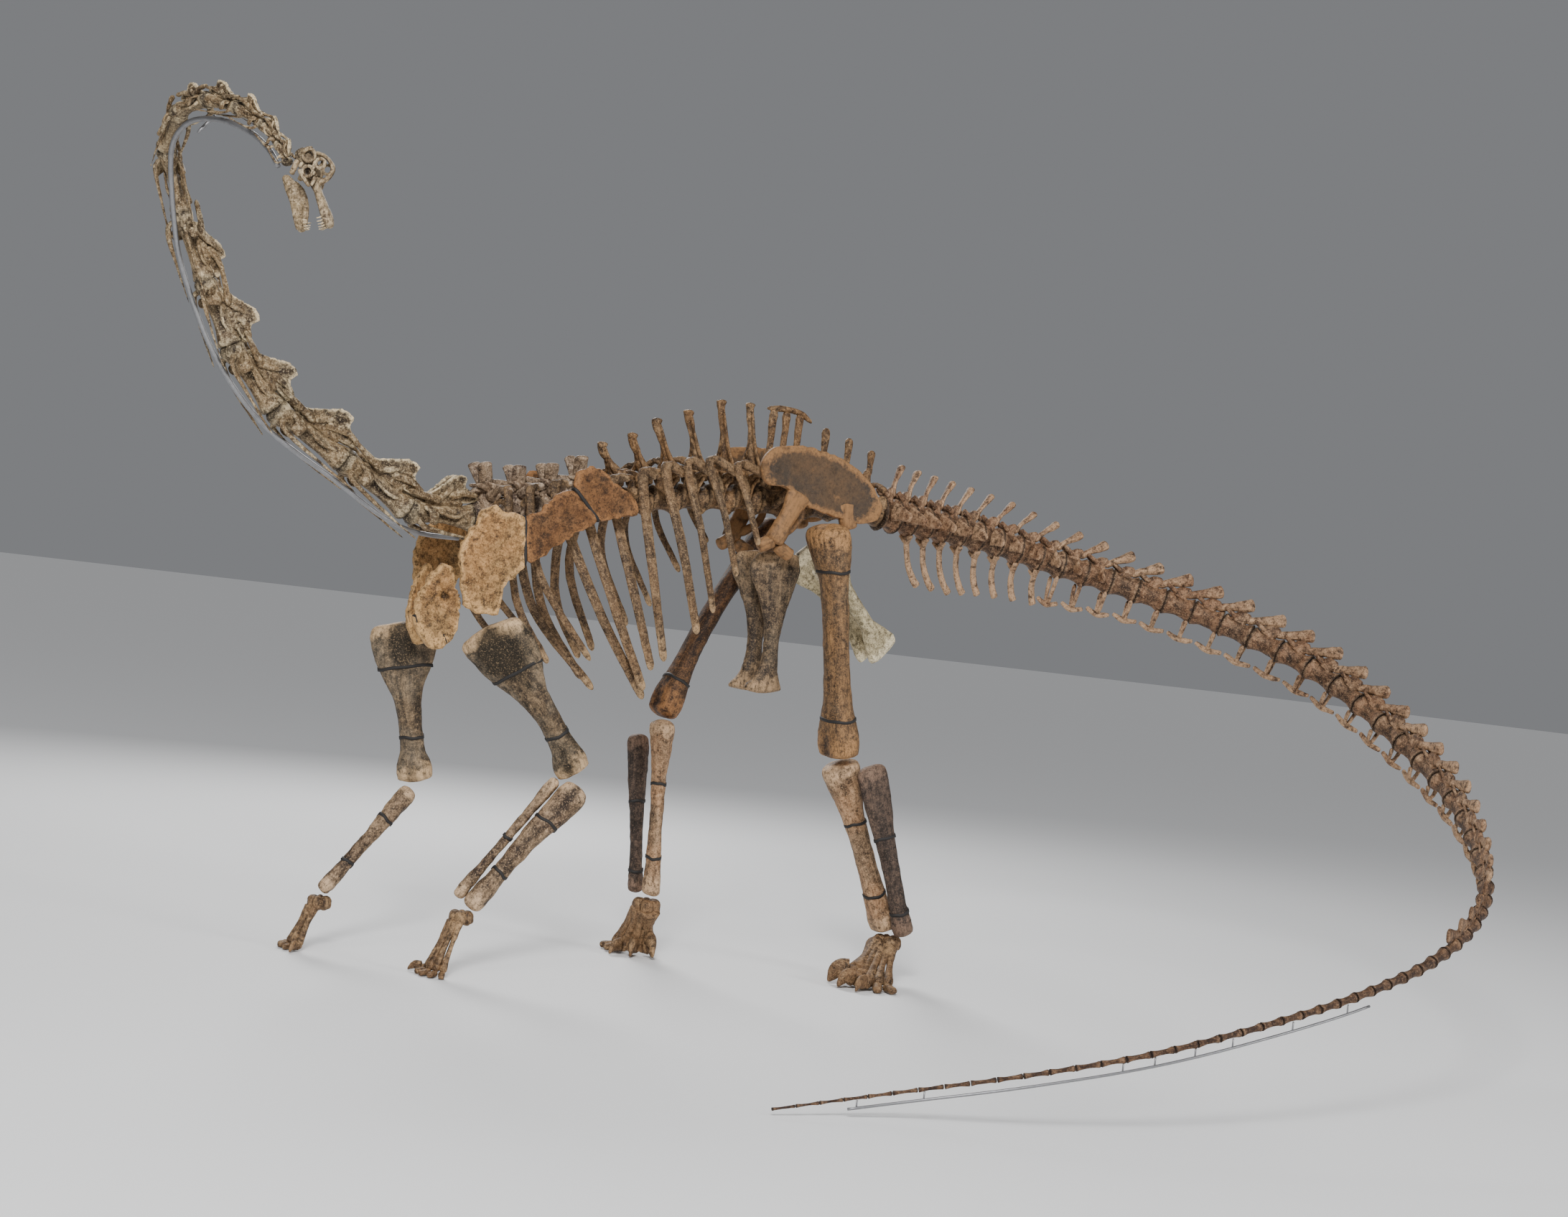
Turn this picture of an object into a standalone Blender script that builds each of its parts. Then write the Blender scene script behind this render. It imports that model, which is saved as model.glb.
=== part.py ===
"""A mounted skeleton of a long-necked, whip-tailed dinosaur, life size, on its steel mount.

Run with: blender --background --python part.py
Units are metres. x grows towards the tail, y towards the animal's right, z upwards.
Each bone, or run of joined vertebrae, is one named object. Shapes are worked out about a point
on the floor below the hips, and everything is set about the part's own origin at the end.
"""
import math

import bmesh
import bpy
import numpy as np
from mathutils import Matrix

# ---- where things stand -------------------------------------------------------------------
HIP_POINT = np.array([0.2705, 1.2575, 0.0])   # floor below the hips, in the part's own frame
LEFT, RIGHT = -1.0, 1.0
SIDES = {"left": LEFT, "right": RIGHT}
GAP = 0.0008                              # clearance between bones that meet
CLEANING = (0.0004, 0.0001, 0.00003, 0.00001, 0.000001)   # merge distances tried in turn
TINY_FACE = 1e-11
FLATTEN = math.radians(6.0)               # edges flatter than this are dissolved

# Leg joints: x, distance from the midplane, z
HIP = (0.0, 0.235, 2.00)
KNEE = {"left": (0.232, 0.215, 1.000), "right": (-0.485, 0.215, 1.098)}
ANKLE = {"left": (0.560, 0.25, 0.222), "right": (-0.425, 0.245, 0.275)}
HIND_TOES = {"left": (0.43, -0.40), "right": (-0.375, 0.383)}
GLENOID = {"left": (-1.630, 0.26, 1.425), "right": (-1.750, 0.30, 1.400)}
ELBOW = {"left": (-1.130, 0.31, 0.845), "right": (-1.580, 0.31, 0.705)}
WRIST = {"left": (-1.545, 0.245, 0.270), "right": (-1.975, 0.240, 0.235)}
FORE_TOES = {"left": (-1.605, -0.265), "right": (-2.005, 0.265)}
HIND_SWING = {"left": 0.55, "right": -0.50}      # how far the feet turn outwards, in radians
FORE_SWING = {"left": 0.20, "right": 0.10}
FIBULA_BACK = {"left": 0.100, "right": -0.055}   # how far the calf bone stands behind the shin bone
RADIUS_LOWER = 0.035                      # how far the radius starts below the ulna
FEMUR_SIZE = {"left": (1.0, 1.0), "right": (0.88, 0.92)}
TIBIA_SIZE = {"left": (1.0, 1.0), "right": (0.85, 0.66)}
ULNA_SIZE = {"left": (1.0, 1.0), "right": (0.72, 0.72)}
THIGH_BOW = {"left": (0.0, 0.0, 0.0), "right": (-0.045, 0.0, 0.0)}
ARM_BOW = {"left": (0.040, 0.0, 0.0), "right": (0.0, 0.0, 0.0)}
SHOULDER_SHIFT = {"left": (0.0, 0.0, 0.0), "right": (0.075, -0.030, 0.0)}

# ---- the backbone -------------------------------------------------------------------------
NECK_ROUTE = ((-1.60, 0.0, 1.865), (-1.88, 0.0, 1.875), (-2.17, 0.0, 2.02), (-2.47, 0.0, 2.185),
              (-2.68, 0.0, 2.40), (-2.83, 0.0, 2.66), (-2.95, -0.03, 2.88), (-3.055, -0.15, 3.09),
              (-3.065, -0.36, 3.20), (-3.005, -0.58, 3.205), (-2.935, -0.76, 3.14),
              (-2.885, -0.86, 3.065), (-2.855, -0.915, 3.01))
# where the tops of the neck bones point: up at the shoulders, out of the bend near the head
NECK_TOP = ((0, 0, 1), (0.35, 0, 0.9), (0.45, 0, 0.9), (0.55, 0, 0.8), (0.8, 0, 0.6),
            (0.9, 0.1, 0.4), (0.6, 0.7, 0.3), (0.1, 0.9, 0.35), (0, 0.5, 0.8), (0, -0.1, 1),
            (0, -0.5, 0.85), (0.1, -0.75, 0.6), (0.2, -0.8, 0.5))
NECK_LENGTHS = (0.28, 0.335, 0.345, 0.295, 0.265, 0.275, 0.245, 0.22, 0.21, 0.19, 0.15, 0.115,
                0.08)                     # from the shoulders to the head
NECK_PARTS = (3, 3, 3, 2, 2)              # vertebrae in each length of the neck
COLUMN = ((-1.60, 1.865), (-1.30, 1.93), (-1.00, 2.00), (-0.60, 2.08), (-0.24, 2.12),
          (0.10, 2.14), (0.42, 2.15))     # x and z along the middle of the trunk's vertebrae
BACK_X = (-1.60, -0.24)
BACK_COUNT = 10
SACRUM_X = (-0.24, 0.42)
SACRUM_GAP = 0.010                        # clearance before the first bone of the tail
SPINE_TIPS = ((-1.60, 2.11), (-1.44, 2.12), (-1.29, 2.15), (-1.16, 2.20), (-1.04, 2.27),
              (-0.90, 2.33), (-0.79, 2.41), (-0.64, 2.47), (-0.48, 2.54), (-0.33, 2.55))
TAIL_ROUTE = ((0.42, 0.0, 2.15), (1.02, 0.03, 2.11), (1.51, -0.03, 2.03), (1.92, -0.21, 1.94),
              (2.25, -0.49, 1.82), (2.47, -0.88, 1.65), (2.52, -1.35, 1.41), (2.37, -1.87, 1.15),
              (2.06, -2.33, 0.90), (1.67, -2.64, 0.74), (1.22, -2.84, 0.61), (0.77, -2.93, 0.50),
              (0.30, -2.97, 0.40), (-0.16, -2.93, 0.295), (-0.583, -2.80, 0.194),
              (-0.98, -2.60, 0.091), (-1.403, -2.512, 0.022))
TAIL_PARTS = (5, 5, 5, 5, 5, 6, 10, 27)   # vertebrae in each length of the tail
WHIP_FROM = 6                             # lengths after this one are the thin whip
ARMED = 10                                # tail vertebrae that have side arms
SPINED = 34                               # tail vertebrae that have a spine
ROD_REACH = (5.70, 7.78)                  # the tail's rod, by distance along the tail
ROD_DROP = (0.034, 0.026)                 # its depth below the bones at each end
ROD_RADIUS = 0.005
ROD_POSTS = (5.83, 6.12, 6.40, 6.56, 6.72, 6.84, 7.52, 7.75)

# ---- ribs, from the first to the last: x, distance from the midplane and z of the bend at the
# top, of the widest part and of the lower end ------------------------------------------------
RIBS = (((-1.52, 0.17, 1.96), (-1.47, 0.25, 1.55), (-1.27, 0.20, 1.30)),
        ((-1.43, 0.18, 1.98), (-1.40, 0.30, 1.66), (-1.10, 0.25, 1.33)),
        ((-1.32, 0.19, 2.00), (-1.13, 0.34, 1.54), (-0.825, 0.24, 1.19)),
        ((-1.21, 0.20, 2.03), (-1.08, 0.37, 1.57), (-0.86, 0.30, 1.23)),
        ((-1.07, 0.20, 2.06), (-1.00, 0.39, 1.62), (-0.86, 0.35, 1.32)),
        ((-0.93, 0.20, 2.13), (-0.94, 0.40, 1.75), (-0.80, 0.34, 1.36)),
        ((-0.82, 0.19, 2.18), (-0.80, 0.39, 1.84), (-0.65, 0.33, 1.49)),
        ((-0.71, 0.18, 2.22), (-0.70, 0.36, 1.91), (-0.56, 0.29, 1.59)),
        ((-0.60, 0.17, 2.25), (-0.58, 0.32, 2.02), (-0.45, 0.26, 1.76)),
        ((-0.45, 0.16, 2.25), (-0.44, 0.27, 2.09), (-0.34, 0.23, 1.91)))

# ---- the head: distances along the snout and above the jaw joint's line ----------------------
HEAD_AT = (-2.815, -0.975, 3.008)         # where the neck meets the skull
SNOUT = (0.10, -0.15, -0.98)
CROWN = (0.75, -0.60, 0.25)

TINTS = {"bone_pale": (0.62, 0.52, 0.40), "bone_tan": (0.46, 0.33, 0.22),
         "bone_rust": (0.48, 0.28, 0.16), "bone_grey": (0.27, 0.24, 0.22),
         "bone_dark": (0.24, 0.18, 0.14), "steel": (0.42, 0.42, 0.43)}


# ---- small helpers ------------------------------------------------------------------------
def unit(vector):
    vector = np.asarray(vector, float)
    return vector / np.linalg.norm(vector)


def sample(table, at):
    """Straight-line reading of a table of (x, value) pairs."""
    xs, values = zip(*table)
    return float(np.interp(at, xs, values))


def smooth(points, per_span=8):
    """A Catmull-Rom curve through the points, as a dense line."""
    points = np.asarray(points, float)
    padded = np.vstack([2 * points[0] - points[1], points, 2 * points[-1] - points[-2]])
    t = np.linspace(0.0, 1.0, per_span, endpoint=False)[:, None]
    spans = []
    for a, b, c, d in zip(padded, padded[1:], padded[2:], padded[3:]):
        spans.append(0.5 * (2 * b + (c - a) * t + (2 * a - 5 * b + 4 * c - d) * t ** 2
                            + (3 * b - a - 3 * c + d) * t ** 3))
    return np.vstack(spans + [points[-1:]])


class Route:
    """A smooth line with a direction for its upper side, read by distance along it."""

    def __init__(self, points, tops, towards_tail):
        self.line = smooth(points)
        self.tops = smooth(tops)
        steps = np.linalg.norm(np.diff(self.line, axis=0), axis=1)
        self.reach = np.concatenate([[0.0], np.cumsum(steps)])
        self.length = self.reach[-1]
        self.sign = 1.0 if towards_tail else -1.0

    def point(self, s):
        return np.array([np.interp(s, self.reach, self.line[:, k]) for k in range(3)])

    def place(self, s):
        """The spot at distance s, with its tailward, rightward and upward directions."""
        step = 0.03
        along = unit(self.point(min(s + step, self.length)) - self.point(max(s - step, 0.0)))
        back = self.sign * along
        top = np.array([np.interp(s, self.reach, self.tops[:, k]) for k in range(3)])
        top = unit(top - back * top.dot(back))
        return Place(self.point(s), back, np.cross(top, back), top)


class Place:
    """A spot with its own tailward, rightward and upward directions."""

    def __init__(self, at, back=(1, 0, 0), right=(0, 1, 0), up=(0, 0, 1)):
        self.at = np.asarray(at, float)
        self.axes = np.array([back, right, up], float)

    def put(self, shell):
        points, faces = shell
        return self.at + points @ self.axes, faces


# ---- shells: closed meshes kept as (points, faces) ------------------------------------------
def closed(rings):
    """Skin the rings one after another and cap both ends."""
    rings = [np.asarray(ring, float) for ring in rings]
    count = len(rings[0])
    points = np.vstack(rings)
    faces = []
    for low in range(0, (len(rings) - 1) * count, count):
        for k in range(count):
            j = (k + 1) % count
            faces.append((low + k, low + j, low + count + j, low + count + k))
    faces.append(tuple(reversed(range(count))))
    faces.append(tuple(range(len(points) - count, len(points))))
    return points, faces


def oval(centre, u, v, count=6, turn=0.0):
    """A ring of points: the centre plus cosine times u plus sine times v."""
    angles = turn + np.arange(count) * 2 * math.pi / count
    return np.asarray(centre) + np.outer(np.cos(angles), u) + np.outer(np.sin(angles), v)


def box_ring(centre, u, v):
    """A four-cornered ring with half sides u and v."""
    return oval(centre, np.asarray(u) * math.sqrt(2), np.asarray(v) * math.sqrt(2), 4, math.pi / 4)


def bar(stations, facing, count=4):
    """A bar through (point, half width, half depth) stations, its width lying along facing."""
    points = np.array([np.asarray(s[0], float) for s in stations])
    runs = np.gradient(points, axis=0)
    rings = []
    for (point, half_width, half_depth), run in zip(stations, runs):
        run = unit(run)
        wide = unit(np.asarray(facing, float) - run * np.dot(facing, run))
        deep = np.cross(run, wide)
        ring = box_ring if count == 4 else (lambda c, u, v: oval(c, u, v, count, math.pi / count))
        rings.append(ring(np.asarray(point, float), wide * half_width, deep * half_depth))
    return closed(rings)


def long_bone(start, end, facing, stations, count=7, bow=(0.0, 0.0, 0.0)):
    """A limb bone from start to end.

    Each station is (fraction along, half width, half depth, shift along the width, shift along
    the depth); the width lies along facing. The bow is how far the middle of the shaft is set
    aside.
    """
    start, end = np.asarray(start, float), np.asarray(end, float)
    run = unit(end - start)
    wide = unit(np.asarray(facing, float) - run * np.dot(facing, run))
    deep = np.cross(run, wide)
    rings = []
    for t, half_width, half_depth, shift_wide, shift_deep in stations:
        centre = start + (end - start) * t + wide * shift_wide + deep * shift_deep
        centre = centre + np.asarray(bow) * math.sin(math.pi * t)
        rings.append(oval(centre, wide * half_width, deep * half_depth, count, math.pi / count))
    return closed(rings)


def mirrored(point, side):
    """A point given by its distance from the midplane, set on one side."""
    return np.array([point[0], point[1] * side, point[2]])


# ---- objects ------------------------------------------------------------------------------
def clear_scene():
    for old in list(bpy.data.objects):
        bpy.data.objects.remove(old, do_unlink=True)


def make_material(name):
    material = bpy.data.materials.get(name)
    if material is None:
        material = bpy.data.materials.new(name)
        material.use_nodes = True
        shader = material.node_tree.nodes["Principled BSDF"]
        shader.inputs["Base Color"].default_value = (*TINTS[name], 1.0)
        shader.inputs["Roughness"].default_value = 0.35 if name == "steel" else 0.8
        shader.inputs["Metallic"].default_value = 1.0 if name == "steel" else 0.0
    return material


def shell_object(name, shell, collection):
    points, faces = shell
    mesh = bpy.data.meshes.new(name)
    mesh.from_pydata(points.tolist(), [], faces)
    work = bmesh.new()
    work.from_mesh(mesh)
    bmesh.ops.recalc_face_normals(work, faces=work.faces)
    if work.calc_volume(signed=True) < 0:
        bmesh.ops.reverse_faces(work, faces=work.faces)
    bmesh.ops.triangulate(work, faces=[face for face in work.faces if len(face.verts) > 4])
    work.to_mesh(mesh)
    work.free()
    made = bpy.data.objects.new(name, mesh)
    collection.objects.link(made)
    return made


def bake(shape, name):
    """A new object holding another's evaluated mesh."""
    graph = bpy.context.evaluated_depsgraph_get()
    mesh = bpy.data.meshes.new_from_object(shape.evaluated_get(graph))
    return bpy.data.objects.new(name, mesh)


def is_closed(mesh):
    """Whether every edge of a mesh joins exactly two faces."""
    work = bmesh.new()
    work.from_mesh(mesh)
    whole = len(work.faces) > 0 and all(len(edge.link_faces) == 2 for edge in work.edges)
    work.free()
    return whole


class Skeleton:
    """Collects the part's objects and joins the shells of each into one solid."""

    def __init__(self):
        scene = bpy.context.scene.collection
        self.parts = bpy.data.collections.new("mounted_dinosaur_skeleton")
        self.cutters = bpy.data.collections.new("joining_shapes")
        scene.children.link(self.parts)
        scene.children.link(self.cutters)

    def add(self, name, shells, material, holes=()):
        """One object from shells that run into each other, less any holes."""
        base = shell_object(name, shells[0], self.cutters)
        for operation, others in (("UNION", shells[1:]), ("DIFFERENCE", holes)):
            for other in others:
                base = self.join(base, name, other, operation)
        return self.finish(base, name, material)

    def join(self, base, name, shell, operation="UNION"):
        """Join one more shell to an object, or take it away, with a solver that leaves it closed."""
        tool = shell_object(name + "_tool", shell, self.cutters)
        made = None
        for solver in ("EXACT", "MANIFOLD"):
            cut = base.modifiers.new("join", "BOOLEAN")
            cut.operation = operation
            cut.solver = solver
            cut.object = tool
            made = bake(base, name)
            base.modifiers.remove(cut)
            if is_closed(made.data):
                break
        for used in (base, tool):
            bpy.data.objects.remove(used, do_unlink=True)
        self.cutters.objects.link(made)
        return made

    def finish(self, made, name, material):
        """Clean the joined mesh as far as it stays closed, then colour it and set it in place."""
        for cutting in ("BEAUTY", "EAR_CLIP"):
            if any(self.clean(made.data, merge, cutting) for merge in CLEANING):
                break
        made.data.transform(Matrix.Translation(HIP_POINT.tolist()))
        made.data.materials.clear()
        made.data.materials.append(make_material(material))
        for holder in list(made.users_collection):
            holder.objects.unlink(made)
        self.parts.objects.link(made)
        made.name = name
        return made

    def clean(self, mesh, merge, cutting):
        """Merge close points and flat edges; the mesh is changed only if it stays closed."""
        work = bmesh.new()
        work.from_mesh(mesh)
        bmesh.ops.remove_doubles(work, verts=work.verts, dist=merge)
        bmesh.ops.dissolve_degenerate(work, edges=work.edges, dist=merge * 0.5)
        bmesh.ops.dissolve_limit(work, angle_limit=FLATTEN, verts=work.verts, edges=work.edges)
        bmesh.ops.triangulate(work, faces=work.faces, ngon_method=cutting)
        whole = all(len(edge.link_faces) == 2 for edge in work.edges)
        whole = whole and all(face.calc_area() > TINY_FACE for face in work.faces)
        if whole:
            work.to_mesh(mesh)
        work.free()
        return whole

    def add_mirrored(self, original, name):
        """The same object on the other side of the midplane."""
        mesh = original.data.copy()
        mesh.name = name
        mesh.transform(Matrix.Translation((0, 2 * HIP_POINT[1], 0)) @ Matrix.Diagonal((1, -1, 1, 1)))
        mesh.flip_normals()
        made = bpy.data.objects.new(name, mesh)
        self.parts.objects.link(made)
        return made

    def add_tube(self, name, points, radius, material, extra=()):
        """A round rod along a smooth line, as a beveled curve, joined with any extra shells."""
        curve = bpy.data.curves.new(name, "CURVE")
        curve.dimensions = "3D"
        curve.bevel_depth = radius
        curve.bevel_resolution = 1
        curve.use_fill_caps = True
        spline = curve.splines.new("POLY")
        spline.points.add(len(points) - 1)
        for slot, point in zip(spline.points, points):
            slot.co = (*point, 1.0)
        rod = bpy.data.objects.new(name, curve)
        self.cutters.objects.link(rod)
        made = bake(rod, name)
        bpy.data.objects.remove(rod, do_unlink=True)
        self.cutters.objects.link(made)
        work = bmesh.new()
        work.from_mesh(made.data)
        bmesh.ops.remove_doubles(work, verts=work.verts, dist=1e-5)
        bmesh.ops.recalc_face_normals(work, faces=work.faces)
        work.to_mesh(made.data)
        work.free()
        for shell in extra:
            made = self.join(made, name, shell)
        return self.finish(made, name, material)


# ---- neck ---------------------------------------------------------------------------------
def spools(route, ends, radius, count=6, tall=1.0, waist=0.72):
    """The bodies of a run of vertebrae: one skin, wide at each end face and waisted between."""
    first, last = ends[0] + GAP / 2, ends[-1] - GAP / 2
    spots = []
    for low, high in zip(ends, ends[1:]):
        spots.append((max(low, first), radius(low)))
        if waist:
            middle = 0.5 * (low + high)
            spots.append((middle, radius(middle) * waist))
    spots.append((last, radius(ends[-1])))
    rings = []
    for at, size in spots:
        spot = route.place(at)
        rings.append(oval(spot.at, spot.axes[1] * size, spot.axes[2] * size * tall, count,
                          math.pi / count))
    return closed(rings)


def neck_radius(s):
    return float(np.interp(s, (0.0, 1.0, 2.0, 2.6, 3.1), (0.066, 0.060, 0.042, 0.030, 0.020)))


def neck_fittings(spot, length, radius):
    """Spine, jointed wings and trailing ribs of one neck vertebra."""
    rise = radius * float(np.interp(length, (0.08, 0.2, 0.3), (2.6, 2.6, 2.8)))
    shells = [closed([box_ring((x, 0, z), (half, 0, 0), (0, thick, 0)) for x, z, half, thick in (
        (0.02 * length, 0.4 * radius, 0.30 * length, 0.42 * radius),
        (0.12 * length, rise, 0.10 * length, 0.22 * radius))])]
    wings = (((-0.45 * length, 0.0, 0.95 * radius), 0.95 * radius, 0.16 * radius),
             ((0.42 * length, 0.0, 1.30 * radius), 0.85 * radius, 0.18 * radius))
    shells.append(bar(wings, (0, 1, 0)))
    for side in (LEFT, RIGHT):
        rib = (((-0.36 * length, 0.45 * side * radius, -0.40 * radius), 0.34 * radius, 0.22 * radius),
               ((0.43 * length, 1.15 * side * radius, -1.40 * radius), 0.08 * radius, 0.07 * radius))
        shells.append(bar(rib, (0, 1, -1 * side)))
    return [spot.put(shell) for shell in shells]


def build_neck(skeleton):
    route = Route(NECK_ROUTE, NECK_TOP, towards_tail=False)
    lengths = np.array(NECK_LENGTHS) * route.length / sum(NECK_LENGTHS)
    ends = np.concatenate([[0.0], np.cumsum(lengths)])
    first = 0
    for number, count in enumerate(NECK_PARTS, 1):
        faces = ends[first:first + count + 1]
        shells = [spools(route, faces, neck_radius, waist=0.72 if count > 2 else 0.0)]
        for low, high in zip(faces, faces[1:]):
            middle = 0.5 * (low + high)
            shells += neck_fittings(route.place(middle), high - low, neck_radius(middle))
        skeleton.add(f"neck_{number}", shells, "bone_pale")
        first += count
    build_neck_rod(skeleton, route)


def build_neck_rod(skeleton, route):
    """The steel rod that follows the underside of the neck."""
    spots = [route.place(s) for s in np.linspace(0.05, route.length - 0.03, 16)]
    drops = [neck_radius(s) + 0.026 for s in np.linspace(0.05, route.length - 0.03, 16)]
    points = [spot.at - spot.axes[2] * drop for spot, drop in zip(spots, drops)]
    skeleton.add_tube("neck_rod", points, 0.010, "steel")


# ---- trunk --------------------------------------------------------------------------------
def column_at(x):
    return np.array([x, 0.0, sample(COLUMN, x)])


def half_spools(ends, radius, side):
    """One side of the back's vertebral bodies, flat on the midplane."""
    angles = np.linspace(-math.pi / 2, math.pi / 2, 4)
    spots = []
    for low, high in zip(ends, ends[1:]):
        spots += [(low, 1.0)]
    spots.append((ends[-1], 1.0))
    first, last = ends[0] + GAP / 2, ends[-1] - GAP / 2
    rings = []
    for x, scale in spots:
        x = min(max(x, first), last)
        rings.append([column_at(x) + (0, side * (GAP / 2 + radius * scale * math.cos(a)),
                                      radius * scale * 1.05 * math.sin(a)) for a in angles])
    return closed(rings)


def half_plate(stations, side):
    """A plate lying on the midplane: (x, z, half length, thickness) from its foot to its top."""
    return closed([box_ring((x, side * (GAP + thick) / 2, z), (half, 0, 0), (0, thick / 2, 0))
                   for x, z, half, thick in stations])


def rib_shell(number, x):
    """A rib: out from the vertebra, over at the top, round the chest and down to its end."""
    base = column_at(x) + (0, 0.030, 0.080)
    line = smooth([base, *RIBS[number]], 4)
    stations = []
    for at, width, depth in ((0, 0.028, 0.021), (4, 0.024, 0.015), (8, 0.020, 0.010),
                             (12, 0.014, 0.009)):
        stations.append((mirrored(line[at], LEFT), width, depth))
    return bar(stations, (1, 0, 0.2))


def build_back(skeleton):
    """The back, parted down the middle, each half with its ribs."""
    ends = np.linspace(*BACK_X, BACK_COUNT + 1)
    shells = [half_spools(ends, 0.064, LEFT)]
    for number, (low, high) in enumerate(zip(ends, ends[1:])):
        x = 0.5 * (low + high)
        z = column_at(x)[2]
        tip_x, tip_z = SPINE_TIPS[number]
        flare = 0.018 if number > 3 else 0.030
        waist_x = x + 0.45 * (tip_x - x)
        shells.append(half_plate(((x, z + 0.03, 0.050, 0.040),
                                  (waist_x, z + 0.5 * (tip_z - z), 0.020, 0.014),
                                  (tip_x, tip_z, 0.024, flare)), LEFT))
        shells.append(rib_shell(number, x))
    left = skeleton.add("rib_cage_left", shells, "bone_tan")
    skeleton.add_mirrored(left, "rib_cage_right")


def build_sacrum(skeleton):
    rings = []
    for x in np.linspace(SACRUM_X[0] + GAP / 2, SACRUM_X[1] - SACRUM_GAP, 4):
        rings.append(oval(column_at(x), (0, 0.070, 0), (0, 0, 0.068), 6, math.pi / 6))
    shells = [closed(rings)]
    posts = (-0.205, -0.135, -0.065)
    for x, top in [(p, 2.53) for p in posts] + [(0.07, 2.50), (0.20, 2.47), (0.33, 2.43)]:
        z = column_at(x)[2]
        lean = 0.0 if x < 0 else 0.015
        shells.append(closed([box_ring((x, 0, z + 0.03), (0.026, 0, 0), (0, 0.022, 0)),
                              box_ring((x + lean, 0, top), (0.020, 0, 0), (0, 0.013, 0))]))
    shells.append(closed([box_ring((x, 0, z), (0, 0.016, 0), (0, 0, half)) for x, z, half in (
        (-0.242, 2.545, 0.018), (-0.10, 2.553, 0.020), (-0.035, 2.54, 0.018), (0.0, 2.52, 0.012))]))
    for x in (-0.17, -0.04, 0.09, 0.22):
        z = column_at(x)[2]
        shells.append(bar(((mirrored((x, 0.160, z + 0.040), LEFT), 0.028, 0.042),
                           ((x, 0.0, z + 0.005), 0.032, 0.040),
                           (mirrored((x, 0.160, z + 0.040), RIGHT), 0.028, 0.042)), (1, 0, 0)))
    skeleton.add("sacrum", shells, "bone_tan")


# ---- hips ---------------------------------------------------------------------------------
ILIUM_CENTRE = (-0.055, 0.215, 2.235)
ILIUM_HALF = (0.340, 0.160)
ILIUM_TILT = math.radians(-15.0)


def build_hips(skeleton):
    along = np.array([math.cos(ILIUM_TILT), 0, math.sin(ILIUM_TILT)])
    across = np.array([-math.sin(ILIUM_TILT), 0, math.cos(ILIUM_TILT)])
    for name, side in SIDES.items():
        centre = mirrored(ILIUM_CENTRE, side)
        rings = []
        for offset, scale in ((-0.026, 0.93), (-0.006, 1.0), (0.016, 1.0), (0.006, 0.82)):
            rings.append(oval(centre + (0, side * offset, 0), along * ILIUM_HALF[0] * scale,
                              across * ILIUM_HALF[1] * scale, 14))
        shells = [closed(rings)]
        shells.append(bar(((mirrored((-0.145, 0.212, 2.17), side), 0.070, 0.018),
                           (mirrored((-0.190, 0.205, 2.06), side), 0.045, 0.026),
                           (mirrored((-0.250, 0.195, 1.930), side), 0.046, 0.034)), (1, 0, 0)))
        shells.append(bar(((mirrored((0.11, 0.212, 2.16), side), 0.060, 0.016),
                           (mirrored((0.135, 0.205, 2.035), side), 0.038, 0.026)), (1, 0, 0)))
        skeleton.add(f"ilium_{name}", shells, "bone_rust")
        pubis = ((0.0, 0.10, 0.030, 0, 0), (0.12, 0.12, 0.030, 0, 0), (0.32, 0.082, 0.026, 0, 0),
                 (0.55, 0.046, 0.026, 0, 0), (0.78, 0.046, 0.028, 0, 0), (0.94, 0.080, 0.036, 0, 0),
                 (1.0, 0.066, 0.030, 0, 0))
        shift = 0.0 if side == LEFT else -0.03
        skeleton.add(f"pubis_{name}", [long_bone(mirrored((-0.165, 0.100, 1.900), side),
                                                 mirrored((-0.125 + shift, 0.044, 1.265), side),
                                                 (1, 0, 0.1), pubis, 7)], "bone_grey")
        ischium = ((0.0, 0.10, 0.024, 0, 0), (0.15, 0.085, 0.024, 0, 0), (0.40, 0.036, 0.022, 0, 0),
                   (0.65, 0.034, 0.022, 0, 0), (0.88, 0.075, 0.024, 0, 0), (1.0, 0.085, 0.020, 0, 0))
        skeleton.add(f"ischium_{name}", [long_bone(mirrored((0.075, 0.130, 1.905), side),
                                                   mirrored((0.520, 0.045, 1.500), side),
                                                   (1, 0, 1), ischium, 7)], "bone_pale")


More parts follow.
